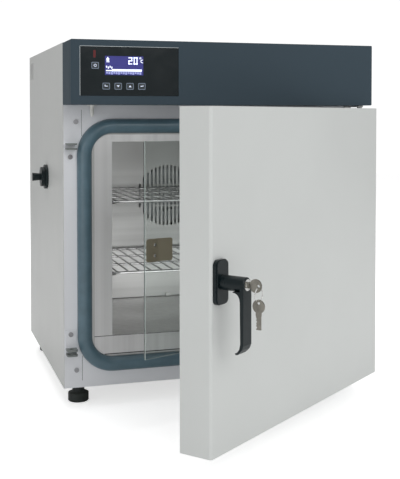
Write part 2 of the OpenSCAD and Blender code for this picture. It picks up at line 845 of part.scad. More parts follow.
module control_panel() {
    color(gloss_black) {
        difference() {
            upright(panel_x0, panel_x1, panel_z0, panel_z0 + panel_h, panel_y, panel_back, 1.5);
            block([screen_x, panel_y - 1, screen_z],
                [screen_x + screen_w, panel_back + 1, screen_z + screen_h]);
            upright(lamp_x - lamp_w / 2, lamp_x + lamp_w / 2, lamp_z - lamp_h / 2, lamp_z + lamp_h / 2,
                panel_y - 1, panel_back + 1, lamp_w / 2 - eps);
            key_window(power_x, power_z);
            for (i = [0:3]) key_window(key_x0 + i * key_pitch, key_z);
        }
        for (x = [panel_x0 + 8, panel_x1 - 8], z = [panel_z0 + 8, panel_z0 + panel_h - 8])
            rod_along_y(x, z, panel_back - eps, board_y, 3);
    }
}

module display() {
    color([0.22, 0.22, 0.51])
        block([screen_x, panel_y + 0.3, screen_z], [screen_x + screen_w, board_y, screen_z + screen_h]);
}

module alarm_lamp() {
    color([0.65, 0.1, 0.1]) {
        upright(lamp_x - lamp_w / 2, lamp_x + lamp_w / 2, lamp_z - lamp_h / 2, lamp_z + lamp_h / 2,
            panel_y + 0.1, panel_back, lamp_w / 2 - eps);
        rod_along_y(lamp_x, lamp_z, panel_back - eps, board_y, 1.8);
    }
}

// Board on the panel's four posts, with a switch behind each key
switch_h = 3.5;

module board_switch(x, z) {
    block([x - 3, board_y - switch_h, z - 3], [x + 3, board_y, z + 3]);
    rod_along_y(x, z, board_y - switch_h - 1.7, board_y - switch_h, 1.75);
}

module control_board() {
    color([0.1, 0.35, 0.2]) {
        block([panel_x0 + 3, board_y, panel_z0 + 3],
            [panel_x1 - 3, board_y + board_t, panel_z0 + panel_h - 3]);
        board_switch(power_x, power_z);
        for (i = [0:3]) board_switch(key_x0 + i * key_pitch, key_z);
        block([panel_x1 - 60, board_y + board_t, panel_z0 + 20],
            [panel_x1 - 20, board_y + board_t + 10, panel_z0 + 34]);
    }
}

// Key cap with a rear rim that keeps it in its window and a stem over its switch
module key_cap(x, z) {
    color(gloss_black) {
        upright(x - key_w / 2, x + key_w / 2, z - key_h / 2, z + key_h / 2, panel_y - 0.3, panel_back + 0.4, 1.8);
        upright(x - key_w / 2 - 1.2, x + key_w / 2 + 1.2, z - key_h / 2 - 1.2, z + key_h / 2 + 1.2,
            panel_back + 0.3, panel_back + 1.3, 1.8);
        rod_along_y(x, z, panel_back + 1.2, board_y - switch_h - 1.7 - key_travel - 0.1, 2);
    }
}

module power_key() { key_cap(power_x, power_z); }
module back_key() { key_cap(key_x0, key_z); }
module down_key() { key_cap(key_x0 + key_pitch, key_z); }
module up_key() { key_cap(key_x0 + 2 * key_pitch, key_z); }
module menu_key() { key_cap(key_x0 + 3 * key_pitch, key_z); }

// Keepers on the frame: two lugs with holes one above the other on a screwed flange
keeper_x = rod_x;
keeper_screw_zs = [keeper_up_z - 26, keeper_low_z + 25];
keeper_hole_r = 4.8;

module keeper(top_z, flange_z0, flange_z1, screw_z) {
    difference() {
        union() {
            block([keeper_x - keeper_w / 2, front_y - 2, flange_z0],
                [keeper_x + keeper_w / 2, front_y, flange_z1]);
            for (z = [top_z - keeper_t, top_z - keeper_step - keeper_t])
                upright_lug(z);
        }
        translate([keeper_x, catch_y, top_z - 2 * keeper_step]) cylinder(h = 3 * keeper_step, r = keeper_hole_r);
        screw_hole(keeper_x, screw_z, front_y - 2, front_y);
    }
}

module upright_lug(z) {
    translate([keeper_x, front_y - keeper_out / 2, z]) linear_extrude(keeper_t) {
        translate([0, keeper_out / 4 - 1]) square([keeper_w, keeper_out / 2 + 2], center = true);
        translate([0, -keeper_out / 4]) rounded(keeper_w, keeper_out / 2, 5);
    }
}

module latch_keepers() {
    color(zinc) {
        keeper(keeper_up_z, keeper_up_z - 34, keeper_up_z, keeper_screw_zs[0]);
        keeper(keeper_low_z, keeper_low_z - keeper_step - keeper_t, keeper_low_z + 33, keeper_screw_zs[1]);
    }
}

// Outer door hinges: angle brackets on the frame that carry the pins
hinge_low_z = door_z0 - 0.6;
hinge_top_z = hood_z0 - hinge_plate;
hinge_screw_up = [13, 31];
hinge_screw_zs = [for (z = hinge_screw_up) each [hinge_low_z + z, hinge_top_z - z]];
hinge_leaf_x = 7;
hinge_leaf_z = 41;

module hinge_arm(z0, z1) {
    block([hinge_x - hinge_leaf_x, hinge_y, z0], [hinge_x + hinge_leaf_x, front_y, z1]);
    translate([hinge_x, hinge_y, z0]) cylinder(h = z1 - z0, r = hinge_leaf_x);
}

module hinge_bracket() {
    // arm at z 0 with its pin above and its leaf beside the pin
    difference() {
        union() {
            hinge_arm(-hinge_plate, 0);
            block([hinge_x - hinge_leaf_x, front_y - hinge_plate, -hinge_plate],
                [hinge_x + hinge_leaf_x, front_y, hinge_leaf_z]);
            translate([hinge_x, hinge_y, -1]) cylinder(h = pin_engage + 1, r = hinge_pin_r);
        }
        for (z = hinge_screw_up) screw_hole(hinge_x, z, front_y - hinge_plate, front_y);
    }
}

module door_hinges() {
    color(zinc) {
        translate([0, 0, hinge_low_z]) hinge_bracket();
        translate([0, 0, hinge_top_z]) mirror([0, 0, 1]) hinge_bracket();
    }
}

// Door sensor under the hood: white barrel, washer and grey tip, behind the closed door
sensor_x = -side_x + 52;
sensor_y = front_y - 16;
sensor_r = 3.6;
sensor_len = 22;

module door_sensor() {
    color("white") {
        translate([sensor_x, sensor_y, hood_z0 - 1.5]) cylinder(h = 1.5, r = 9);
        translate([sensor_x, sensor_y, hood_z0 - sensor_len + 4]) cylinder(h = sensor_len - 4, r = sensor_r);
        translate([sensor_x, sensor_y, hood_z0 - sensor_len]) cylinder(h = 4 + eps, r1 = 1.6, r2 = 2.8, $fn = 32);
    }
}

// Side port: flanged sleeve through the wall and its plug
port_flange_r = 25;
port_flange_t = 6;
plug_disc_r = 20;
plug_disc_t = 7;
plug_stem = 17;
plug_shank = 52;

module port_sleeve() {
    color(black_plastic) difference() {
        union() {
            rod_along_x(port_y, port_axis_z, -side_x - port_flange_t, -side_x, port_flange_r);
            rod_along_x(port_y, port_axis_z, -side_x - 1, -cham_x, sleeve_r);
        }
        rod_along_x(port_y, port_axis_z, -side_x - port_flange_t - 1, -cham_x + 1, port_d / 2);
        translate([-side_x - port_flange_t, port_y, port_axis_z]) rotate([0, -90, 0]) translate([0, 0, -2])
            cylinder(h = 2 + eps, r1 = port_d / 2, r2 = port_d / 2 + 2);
    }
}

module port_plug() {
    x0 = -side_x - port_flange_t - play;
    color(black_plastic) {
        rod_along_x(port_y, port_axis_z, x0 - plug_disc_t, x0, plug_disc_r);
        rod_along_x(port_y, port_axis_z, x0 - eps, x0 + plug_shank, port_d / 2 - play);
        translate([x0 - plug_disc_t + eps, port_y, port_axis_z]) rotate([0, -90, 0])
            cylinder(h = plug_stem, r1 = 7, r2 = 8.5);
    }
}

// Levelling feet: threaded bushes in the base pan and pads on studs that screw down
stud_r = 5;
bush_hole_r = 8;
bush_flange_r = 13;
bush_flange_t = 3;
bush_len = 14;
stud_len = 26;

module foot_places() {
    for (x = [-1, 1], y = [-1, 1])
        translate([x * (side_x - foot_in_x), y * (back_y - foot_in_y), 0]) children();
}

module foot_bushes() {
    color(zinc) foot_places() difference() {
        union() {
            translate([0, 0, body_z0 + sheet]) cylinder(h = bush_flange_t, r = bush_flange_r);
            translate([0, 0, body_z0]) cylinder(h = bush_len, r = bush_hole_r);
        }
        translate([0, 0, body_z0 - 1]) cylinder(h = bush_len + 2, r = stud_r + fit);
    }
}

foot_neck = 17;
foot_neck_r = 11.6;

module foot(x, y) {
    r = foot_d / 2;
    color(black_plastic) translate([x * (side_x - foot_in_x), y * (back_y - foot_in_y), 0]) {
        rotate_extrude($fn = 64) polygon([[0, 0], [r - 1.5, 0], [r, 1.5], [r, foot_h - foot_neck - 4],
            [foot_neck_r, foot_h - foot_neck], [foot_neck_r, foot_h - play], [0, foot_h - play]]);
        translate([0, 0, foot_h - 1]) cylinder(h = stud_len, r = stud_r);
    }
}

module front_left_foot() { foot(-1, -1); }
module front_right_foot() { foot(1, -1); }
module back_left_foot() { foot(-1, 1); }
module back_right_foot() { foot(1, 1); }

// Outer door shell: front sheet folded back at the sides, top and bottom, with rear lips
module door_outline(x0, x1, y0, y1, r) {
    // plan of the door with its two front edges rounded
    translate([x0 + r, y0]) square([x1 - x0 - 2 * r, r + eps]);
    translate([x0, y0 + r]) square([x1 - x0, y1 - y0 - r]);
    for (x = [x0 + r, x1 - r]) translate([x, y0 + r]) circle(r);
}

spindle_hole = spindle_r + 0.5;

module door_shell() {
    t = door_sheet;
    color(paint_grey) on_door() difference() {
        translate([0, 0, door_z0]) linear_extrude(door_z1 - door_z0)
            door_outline(-side_x, side_x, door_y0, door_y1, door_edge_r);
        translate([0, 0, door_z0 + t]) linear_extrude(door_z1 - door_z0 - 2 * t)
            door_outline(-side_x + t, side_x - t, door_y0 + t, door_y1 - t, door_edge_r - t);
        block([-side_x + door_lip, door_y1 - 2 * t, door_z0 + door_lip],
            [side_x - door_lip, door_y1 + 1, door_z1 - door_lip]);
        rod_along_y(axis_x, axis_z, door_y0 - 1, door_y0 + 2 * t, spindle_hole);
        for (z = [door_z0 - 1, door_z1 - 2 * t])
            translate([hinge_x, hinge_y, z]) cylinder(h = 2 * t + 1, r = bush_r);
        for (z = hook_zs) hook_slot(z, door_y1 - 2 * t, door_y1 + 1);
    }
    color(zinc) on_door() for (z = hook_zs) hook_stud(z);
}

// Stud welded to the inside of the door's free edge, with a flange and a head
module hook_stud(z) {
    wall_x = -side_x + door_sheet;
    rod_along_x(hook_y, z, wall_x, rod_x + hook_t / 2 + hook_gap + 1.5, hook_stud_r);
    rod_along_x(hook_y, z, wall_x, wall_x + 2, 6);
    rod_along_x(hook_y, z, rod_x + hook_t / 2 + hook_gap, rod_x + hook_t / 2 + hook_gap + 1.5, 4);
}

// Stainless inner face of the door with a raised tray that presses on the seal
module door_liner() {
    color(steel) on_door() difference() {
        union() {
            block([-side_x + 2, door_y1, door_z0 + 2], [side_x - 2, door_y1 + pan_sheet, door_z1 - 2]);
            upright(-pan_x, pan_x, pan_z0, pan_z1, door_y1, pan_y, pan_r);
        }
        upright(-pan_x + pan_sheet, pan_x - pan_sheet, pan_z0 + pan_sheet, pan_z1 - pan_sheet,
            door_y1 - 1, pan_y - pan_sheet, pan_r - pan_sheet);
        for (z = hook_zs) hook_slot(z, door_y1 - 1, door_y1 + 2 * pan_sheet);
    }
}

module hook_slot(z, y0, y1) {
    block([rod_x - hook_t / 2 - 1.2, y0, z - hook_reach - 3],
        [rod_x + hook_t / 2 + 1.2, y1, z + hook_arm_w / 2 + 3]);
}

module door_insulation() {
    in = door_sheet + wool_gap;
    color(wool) on_door() difference() {
        translate([0, 0, door_z0 + in]) linear_extrude(door_z1 - door_z0 - 2 * in)
            door_outline(channel_x, side_x - in, door_y0 + in, door_y1 - in, door_edge_r - door_sheet);
        for (z = [door_z0, door_z1 - pin_engage - 6])
            translate([hinge_x, hinge_y, z]) cylinder(h = pin_engage + 6, r = bush_r + 1);
    }
}

// Nylon bushes in the door's top and bottom edges
module hinge_bushes() {
    color("white") on_door() for (z = [door_z0, door_z1 - pin_engage])
        translate([hinge_x, hinge_y, z]) difference() {
            cylinder(h = pin_engage, r = bush_r);
            translate([0, 0, -1]) cylinder(h = pin_engage + 2, r = hinge_pin_r + fit);
        }
}

// Handle base plate with a sloped edge, and the bearing of the spindle
module handle_base() {
    color(black_plastic) on_handle() difference() {
        union() {
            linear_extrude(base_t - 2) rounded(base_w, base_h, 9);
            translate([0, 0, base_t - 2 - eps]) linear_extrude(2) rounded(base_w - 2.4, base_h - 2.4, 7.8);
            translate([0, 0, -12]) cylinder(h = 12 + eps, r = spindle_hole - fit);
        }
        translate([0, 0, -13]) cylinder(h = base_t + 14, r = spindle_r + fit);
    }
}

// Lever: neck, head and grip with a curled tip; its spindle turns the crank inside the door
grip_t = 6.5;
tip_t = 3.6;
neck_gap = 0.3;

module grip_side() {
    // side view: x runs out of the door and y up
    u = handle_out;
    difference() {
        union() {
            polygon([[u - grip_t, 0], [u, 0], [u, -lever_len + 16], [u - 2.5, -lever_len + 10],
                [u - 5, -lever_len + 7], [u - 9, -lever_len + 3], [u - 15, -lever_len], [u - 15.5, -lever_len + tip_t],
                [u - 10.5, -lever_len + tip_t + 2.5], [u - 7, -lever_len + tip_t + 7], [u - grip_t + 1.2, -lever_len + 19]]);
            translate([u - grip_t - 12, -handle_neck / 2 - 12]) square([13, 13]);
        }
        translate([u - grip_t - 12, -handle_neck / 2 - 12]) circle(12);
    }
}

module handle_lever() {
    r = handle_neck / 2;
    color(black_plastic) on_handle() difference() {
        union() {
            translate([0, 0, base_t + neck_gap]) cylinder(h = handle_out - base_t - neck_gap - 1.5, r = r);
            translate([0, 0, handle_out - 1.5 - eps]) cylinder(h = 1.5 + eps, r1 = r, r2 = r - 1.5);
            intersection() {
                rotate([90, 0, 90]) translate([0, 0, -r]) linear_extrude(handle_neck)
                    rotate([0, 0, 90]) mirror([0, 1, 0]) grip_side();
                translate([0, 0, -1]) linear_extrude(handle_out + 2)
                    translate([0, -lever_len / 2 + 2]) rounded(handle_neck, lever_len + 4, 8);
            }
            translate([0, 0, door_y0 - crank_y - crank_t])
                cylinder(h = base_t + neck_gap + (crank_y - door_y0) + crank_t + 1, r = spindle_r);
            translate([0, 0, -(crank_y - door_y0) - crank_t]) cylinder(h = crank_t, r = crank_disc_r);
            rotate([0, 0, 180 - crank_a]) translate([crank_r, 0, -(crank_y - door_y0) - crank_t - 2 - rod_t - 1])
                cylinder(h = rod_t + 3 + eps, r = crank_pin_r);
        }
        translate([0, 0, handle_out - 26]) cylinder(h = 27, r = lock_r + fit);
    }
}

// Latch rod: flat bar with a slotted yoke round the crank's pin and a cheek with a link pin at each hook
yoke_play = 0.6;
yoke_x0 = rod_x - crank_r * (1 - cos(crank_a)) - crank_pin_r - yoke_play;
yoke_x1 = rod_x + crank_pin_r + yoke_play;
yoke_wall = 2.8;
yoke_half = 9;
cheek_half = 4;

module latch_rod() {
    rise = crank_r * sin(crank_a);
    yoke_z = axis_z + rise;
    color(zinc) on_door() {
        difference() {
            union() {
                block([rod_x - rod_w / 2, rod_y, hook_zs[1] + rise - cheek_half],
                    [rod_x + rod_w / 2, rod_y + rod_t, hook_zs[0] + rise + cheek_half]);
                block([yoke_x0 - yoke_wall, rod_y, yoke_z - yoke_half],
                    [yoke_x1 + yoke_wall, rod_y + rod_t, yoke_z + yoke_half]);
            }
            block([yoke_x0, rod_y - 1, yoke_z - crank_pin_r - yoke_play],
                [yoke_x1, rod_y + rod_t + 1, yoke_z + crank_pin_r + yoke_play]);
        }
        for (z = hook_zs) {
            block([rod_x - rod_w / 2, rod_y + rod_t - eps, z + rise - cheek_half],
                [rod_x - hook_t / 2 - hook_gap, link_y + link_r, z + rise + cheek_half]);
            rod_along_x(link_y, z + rise, rod_x - rod_w / 2, rod_x + hook_t / 2 + 2, link_r);
        }
    }
}

// Side view of a hook as it holds the keeper: x runs to the cabinet and y up, from the stud's axis
module hook_side() {
    slot_in = crank_r * cos(crank_a) - link_r - play;
    slot_out = crank_r + link_r + play;
    slot_half = link_r + link_play;
    difference() {
        union() {
            circle(hook_hub_r);
            translate([0, -hook_arm_w / 2]) square([hook_reach + claw_w / 2, hook_arm_w]);
            translate([hook_reach - claw_w / 2, 0]) square([claw_w, claw_up]);
            rotate(180 + crank_a) translate([0, -slot_half - link_wall])
                square([slot_out + link_wall, 2 * (slot_half + link_wall)]);
        }
        circle(hook_stud_r + fit);
        rotate(180 + crank_a) translate([slot_in, -slot_half]) square([slot_out - slot_in, 2 * slot_half]);
    }
}

// Hook drawn hanging down inside the door, where it lies while the latch is open
module hook(z) {
    color(zinc) on_door() translate([rod_x - hook_t / 2, hook_y, z]) rotate([-90, 0, 0]) rotate([90, 0, 90])
        linear_extrude(hook_t) hook_side();
}

module upper_hook() { hook(hook_zs[0]); }
module lower_hook() { hook(hook_zs[1]); }

// Lock cylinder in the lever's head, with an upright keyway
keyway_w = 2.4;
keyway_h = 8.4;
lock_len = 24;
lock_proud = 0.8;

module lock_cylinder() {
    color(zinc) on_handle() difference() {
        translate([0, 0, handle_out - lock_len]) cylinder(h = lock_len + lock_proud, r = lock_r);
        translate([-keyway_w / 2, -keyway_h / 2, handle_out - lock_len + 2]) cube([keyway_w, keyway_h, lock_len]);
        translate([0, 0, handle_out + lock_proud - 0.5]) difference() {
            cylinder(h = 1, r = lock_r - 1.4);
            translate([0, 0, -1]) cylinder(h = 3, r = 3.6);
        }
    }
}

// Key drawn along +X: round bow with a hole near its far edge, then the neck and the cut blade
key_t = 2;
bow_r = 10;
blade_h = 8;
blade_len = 24;
bow_hole_r = 2.4;
bow_hole_in = 5;

module key_shape() {
    linear_extrude(key_t, center = true) difference() {
        union() {
            circle(bow_r);
            translate([-bow_r - 4, -4.6]) square([8, 9.2]);
            difference() {
                translate([-bow_r - blade_len, -blade_h / 2]) square([blade_len, blade_h]);
                for (i = [0:3]) translate([-bow_r - 8 - i * 4.2, -blade_h / 2]) rotate([0, 0, 45])
                    square([2 + (i % 2), 2 + (i % 2)], center = true);
            }
        }
        translate([bow_r - bow_hole_in, 0]) circle(bow_hole_r);
    }
}

bow_out = handle_out + bow_r + 4.2;

module cylinder_key() {
    color(steel) on_handle() translate([0, 0, bow_out]) rotate([0, -90, 0]) key_shape();
}

// Split ring through both bows, and the spare key that hangs from it
ring_wire = 0.7;
ring_r = 10.5;
ring_out = bow_out + bow_r - bow_hole_in;
ring_drop = bow_hole_r - ring_wire - fit;
spare_down = 2 * (ring_r + ring_drop);

module key_ring() {
    color(steel) on_handle() translate([0, -ring_r - ring_drop, ring_out]) rotate_extrude($fn = 64)
        translate([ring_r, 0]) circle(ring_wire, $fn = 16);
}

module spare_key() {
    color(steel) on_handle() translate([0, -spare_down - bow_r + bow_hole_in, ring_out]) rotate([0, 90, 0])
        rotate([0, 0, 90]) key_shape();
}

// Inner door: glass, hinge clamps on its edge, and the bent catch plate
module glass_pane() {
    color([0.75, 0.82, 0.82, 0.35]) on_glass()
        upright(glass_x0, glass_x1, glass_z0, glass_z1, glass_y, glass_y + glass_t, 3);
}

clamp_t = 2;
clamp_w = 22;
knuckle_h = 10;
leaf_zs = [glass_z0 + glass_hinge_in, glass_z1 - glass_hinge_in];

module glass_hinges() {
    color(zinc) {
        for (z = leaf_zs) {
            on_glass() difference() {
                union() {
                    block([glass_x1 - clamp_w, glass_y - clamp_t, z - leaf_h / 2],
                        [glass_x1 + 1.6, glass_y, z + leaf_h / 2]);
                    block([glass_x1, glass_y - clamp_t, z - knuckle_h / 2],
                        [glass_ax, glass_y + glass_t, z + knuckle_h / 2]);
                    block([glass_x1 - clamp_w, glass_y + glass_t, z - leaf_h / 2],
                        [glass_x1 + 1.6, glass_y + glass_t + 1, z + leaf_h / 2]);
                    block([glass_x1, glass_y - clamp_t, z - leaf_h / 2],
                        [glass_x1 + 1.6, glass_y + glass_t + 1, z + leaf_h / 2]);
                    translate([glass_ax, glass_ay, z - knuckle_h / 2]) cylinder(h = knuckle_h, r = knuckle_r);
                }
                translate([glass_ax, glass_ay, z - leaf_h]) cylinder(h = 2 * leaf_h, r = glass_pin_r + fit);
            }
        }
    }
}

module glass_catch() {
    // flat half behind two screws and a half bent out as the pull
    zc = (glass_z0 + glass_z1) / 2;
    x0 = glass_x0 + 2;
    xm = x0 + catch_w / 2;
    rise = catch_w / 2 * sin(catch_bend);
    color([0.4, 0.36, 0.27]) on_glass() {
        intersection() {
            translate([0, 0, zc - catch_h / 2]) linear_extrude(catch_h)
                polygon([[x0, glass_y], [x0, glass_y - catch_t], [xm, glass_y - catch_t],
                    [x0 + catch_w, glass_y - catch_t - rise], [x0 + catch_w, glass_y - rise], [xm, glass_y]]);
            upright(x0, x0 + catch_w, zc - catch_h / 2, zc + catch_h / 2, glass_y - 20, glass_y + 1, 4);
        }
        for (s = [-1, 1])
            rod_along_y(x0 + 17, zc + s * 9.5, glass_y - catch_t - 1.4, glass_y - catch_t + eps, 2.8);
    }
}

// Brackets on the right trim strip: two ears round each knuckle with the pin between them
ear_t = 3;
ear_r = 5.5;

module glass_brackets() {
    color(zinc) for (z = leaf_zs) {
        for (s = [-1, 1]) translate([0, 0, z + s * (knuckle_h / 2 + play + ear_t / 2) - ear_t / 2]) {
            translate([glass_ax, glass_ay, 0]) cylinder(h = ear_t, r = ear_r);
            block([glass_ax - 5, glass_ay, 0], [glass_ax + 12, trim_y - 2, ear_t]);
        }
        block([glass_ax - 5, trim_y - 2, z - leaf_h / 2], [glass_ax + 12, trim_y, z + leaf_h / 2]);
        translate([glass_ax, glass_ay, z - knuckle_h / 2 - play - eps])
            cylinder(h = knuckle_h + 2 * play + 2 * eps, r = glass_pin_r);
    }
}

// Wire shelf: closed rim, thin wires from front to back and two cross wires under them
module shelf(z) {
    cross_r = rim_d * 0.4;
    zc = cham_z0 + z - rim_d / 2;
    n = floor((2 * shelf_x - 2 * rim_d) / wire_pitch);
    x0 = -n * wire_pitch / 2;
    rim = rim_d / 2;
    color(zinc) {
        for (y = [shelf_front + rim, shelf_back - rim]) rod_along_x(y, zc, -shelf_x + rim, shelf_x - rim, rim);
        for (s = [-1, 1]) {
            rod_along_y(s * (shelf_x - rim), zc, shelf_front + rim, shelf_back - rim, rim);
            for (y = [shelf_front + rim, shelf_back - rim])
                translate([s * (shelf_x - rim), y, zc]) sphere(rim, $fn = 24);
        }
        for (i = [0:n])
            rod_along_y(x0 + i * wire_pitch, zc + rim - wire_d / 2 + 0.6, shelf_front + rim, shelf_back - rim,
                wire_d / 2, $fn = 16);
        for (f = [1 / 3, 2 / 3])
            rod_along_x(shelf_front + f * (shelf_back - shelf_front), zc - rim + cross_r, -shelf_x + rim,
                shelf_x - rim, cross_r, $fn = 16);
    }
}

module upper_shelf() { shelf(shelf_hi); }
module lower_shelf() { shelf(shelf_lo); }

left_side_panel();
right_side_panel();
top_panel();
rear_panel();
base_pan();
front_frame();
casing_screws();
chamber_liner();
opening_trim();
rear_baffle();
insulation();
shelf_runners();
temperature_probe();
fan_motor();
fan_wheel();
heater_ring();
door_seal();
electronics_tray();
power_supply();
mains_inlet();
hood_body();
hood_front();
control_panel();
display();
alarm_lamp();
control_board();
power_key();
back_key();
down_key();
up_key();
menu_key();
latch_keepers();
door_hinges();
door_sensor();
port_sleeve();
port_plug();
foot_bushes();
front_left_foot();
front_right_foot();
back_left_foot();
back_right_foot();
door_shell();
door_liner();
door_insulation();
hinge_bushes();
handle_base();
handle_lever();
latch_rod();
upper_hook();
lower_hook();
lock_cylinder();
cylinder_key();
key_ring();
spare_key();
glass_pane();
glass_hinges();
glass_catch();
glass_brackets();
upper_shelf();
lower_shelf();
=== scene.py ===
"""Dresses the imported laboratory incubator: finishes, printed marks, small fittings, studio and camera.

Metres, in the part's own frame: X to the right, Y to the back, Z up, the origin on the bench.
"""

from __future__ import annotations

import json
import logging
import math
from dataclasses import dataclass
from enum import Enum, auto
from typing import Any, ClassVar, Iterable, Sequence

import bmesh
import bpy
from mathutils import Matrix, Vector

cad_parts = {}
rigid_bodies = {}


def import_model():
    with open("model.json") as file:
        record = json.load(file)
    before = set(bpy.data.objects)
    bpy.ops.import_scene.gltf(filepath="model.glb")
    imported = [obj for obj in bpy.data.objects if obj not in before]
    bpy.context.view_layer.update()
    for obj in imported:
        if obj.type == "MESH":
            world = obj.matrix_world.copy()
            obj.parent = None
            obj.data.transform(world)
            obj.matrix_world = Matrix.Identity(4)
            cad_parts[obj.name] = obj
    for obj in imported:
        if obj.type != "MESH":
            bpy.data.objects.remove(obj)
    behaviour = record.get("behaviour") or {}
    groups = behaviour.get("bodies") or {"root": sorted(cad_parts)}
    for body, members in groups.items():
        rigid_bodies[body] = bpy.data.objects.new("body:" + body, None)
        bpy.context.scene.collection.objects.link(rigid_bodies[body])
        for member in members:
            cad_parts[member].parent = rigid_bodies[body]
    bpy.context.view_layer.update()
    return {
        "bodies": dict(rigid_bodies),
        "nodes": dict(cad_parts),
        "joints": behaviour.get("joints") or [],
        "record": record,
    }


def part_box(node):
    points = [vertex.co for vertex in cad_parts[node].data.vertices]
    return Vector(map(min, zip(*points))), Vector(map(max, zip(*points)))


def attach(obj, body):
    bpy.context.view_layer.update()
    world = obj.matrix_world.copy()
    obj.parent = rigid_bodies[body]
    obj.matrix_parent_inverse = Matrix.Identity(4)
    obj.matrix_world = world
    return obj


LOG = logging.getLogger("incubator")
MM = 0.001
DARK_LINE_DEPTH = 0.04 * MM
CORNER_STEPS = 5
ARC_STEPS = 16

Colour = tuple[float, float, float]
Span = tuple[float, float]
Point = Sequence[float]
Outline = list[Point]
BMesh = bmesh.types.BMesh

# Ranges of a noise's value over which a blend runs
SOFT: Span = (0.3, 0.7)
SHARP: Span = (0.35, 0.65)


class Grain(Enum):
    """Direction in which a sheet was brushed, as the stretch of its noise along X, Y and Z."""

    ALONG_X = (6.0, 900.0, 900.0)
    ALONG_Z = (900.0, 900.0, 6.0)


class Mark(Enum):
    """Printed sign on a key."""

    BACK = auto()
    DOWN = auto()
    UP = auto()
    ENTER = auto()
    POWER = auto()


def srgb(red: int, green: int, blue: int) -> Colour:
    """Turn an eight-bit screen colour into the linear colour that a shader takes.

    Args:
        red: Red from 0 to 255.
        green: Green from 0 to 255.
        blue: Blue from 0 to 255.

    Returns:
        The linear colour.
    """

    def channel(value: int) -> float:
        """Linear value of one channel."""
        share = value / 255
        return share / 12.92 if share <= 0.04045 else ((share + 0.055) / 1.055) ** 2.4

    return channel(red), channel(green), channel(blue)


class Graph:
    """Short way to add and join the nodes of one shader tree."""

    def __init__(self, tree: bpy.types.NodeTree) -> None:
        """Keep the tree."""
        self.tree = tree

    def node(self, kind: str) -> bpy.types.Node:
        """First node of a kind."""
        return next(node for node in self.tree.nodes if node.type == kind)

    def feed(self, socket: bpy.types.NodeSocket, value: Any) -> None:
        """Join an input to an output socket, or set its value.

        Args:
            socket: The input.
            value: Output socket, number, vector, or colour of three numbers.
        """
        if isinstance(value, bpy.types.NodeSocket):
            self.tree.links.new(value, socket)
        elif socket.type == "RGBA":
            socket.default_value = (*value, 1.0)
        else:
            socket.default_value = value

    def add(self, kind: str, inputs: dict[Any, Any] | None = None, **settings: Any) -> bpy.types.Node:
        """Add a node.

        Args:
            kind: Type name of the node.
            inputs: Value, or output socket, of each input by name or number.
            settings: Attributes of the node itself.

        Returns:
            The new node.
        """
        node = self.tree.nodes.new(kind)
        for name, value in settings.items():
            setattr(node, name, value)
        for key, value in (inputs or {}).items():
            self.feed(node.inputs[key], value)
        return node

    def place(self) -> Any:
        """Coordinates in the part's frame."""
        return self.add("ShaderNodeTexCoord").outputs["Object"]

    def noise(self, place: Any, scale: Any, detail: float, **more: float) -> Any:
        """Value of a noise texture, with any more of its inputs set."""
        inputs = {"Vector": place, "Scale": scale, "Detail": detail, **more}
        return self.add("ShaderNodeTexNoise", inputs).outputs["Fac"]

    def calc(self, operation: str, first: Any, second: Any) -> Any:
        """Result of one operation on two values."""
        return self.add("ShaderNodeMath", {0: first, 1: second}, operation=operation).outputs[0]

    def ramp(self, source: Any, span: Span, to: tuple[Any, Any] = (0.0, 1.0)) -> Any:
        """Map a value's range onto another one, held at both ends.

        Args:
            source: Output socket of the value.
            span: The two ends of its range.
            to: The two ends of the result, numbers or sockets.

        Returns:
            The output socket of the mapped value.
        """
        inputs = {"Value": source, "From Min": span[0], "From Max": span[1], "To Min": to[0], "To Max": to[1]}
        return self.add("ShaderNodeMapRange", inputs).outputs["Result"]

    def mix(self, factor: Any, first: Any, second: Any) -> Any:
        """Blend two colours by a factor."""
        return self.add("ShaderNodeMix", {0: factor, 6: first, 7: second}, data_type="RGBA").outputs[2]

    def blend(self, source: Any, span: Span, first: Any, second: Any) -> Any:
        """Blend two colours by where a value lies in a range."""
        return self.mix(self.ramp(source, span), first, second)


class EffectGroup(Graph):
    """Node group in the making, with named inputs and outputs."""

    def __init__(self, name: str, inputs: dict[str, float | Point]) -> None:
        """Start the group.

        Args:
            name: Name of the group.
            inputs: Default of each input; three numbers make a vector.
        """
        super().__init__(bpy.data.node_groups.new(name, "ShaderNodeTree"))
        for label, value in inputs.items():
            kind = "NodeSocketFloat" if isinstance(value, float) else "NodeSocketVector"
            self.tree.interface.new_socket(label, in_out="INPUT", socket_type=kind).default_value = value
        self.given = self.add("NodeGroupInput").outputs

    def close(self, **outputs: Any) -> bpy.types.NodeTree:
        """Give the group its outputs.

        Args:
            outputs: Socket of the value behind each output.

        Returns:
            The finished group.
        """
        for label in outputs:
            self.tree.interface.new_socket(label, in_out="OUTPUT", socket_type="NodeSocketFloat")
        self.add("NodeGroupOutput", outputs)
        return self.tree


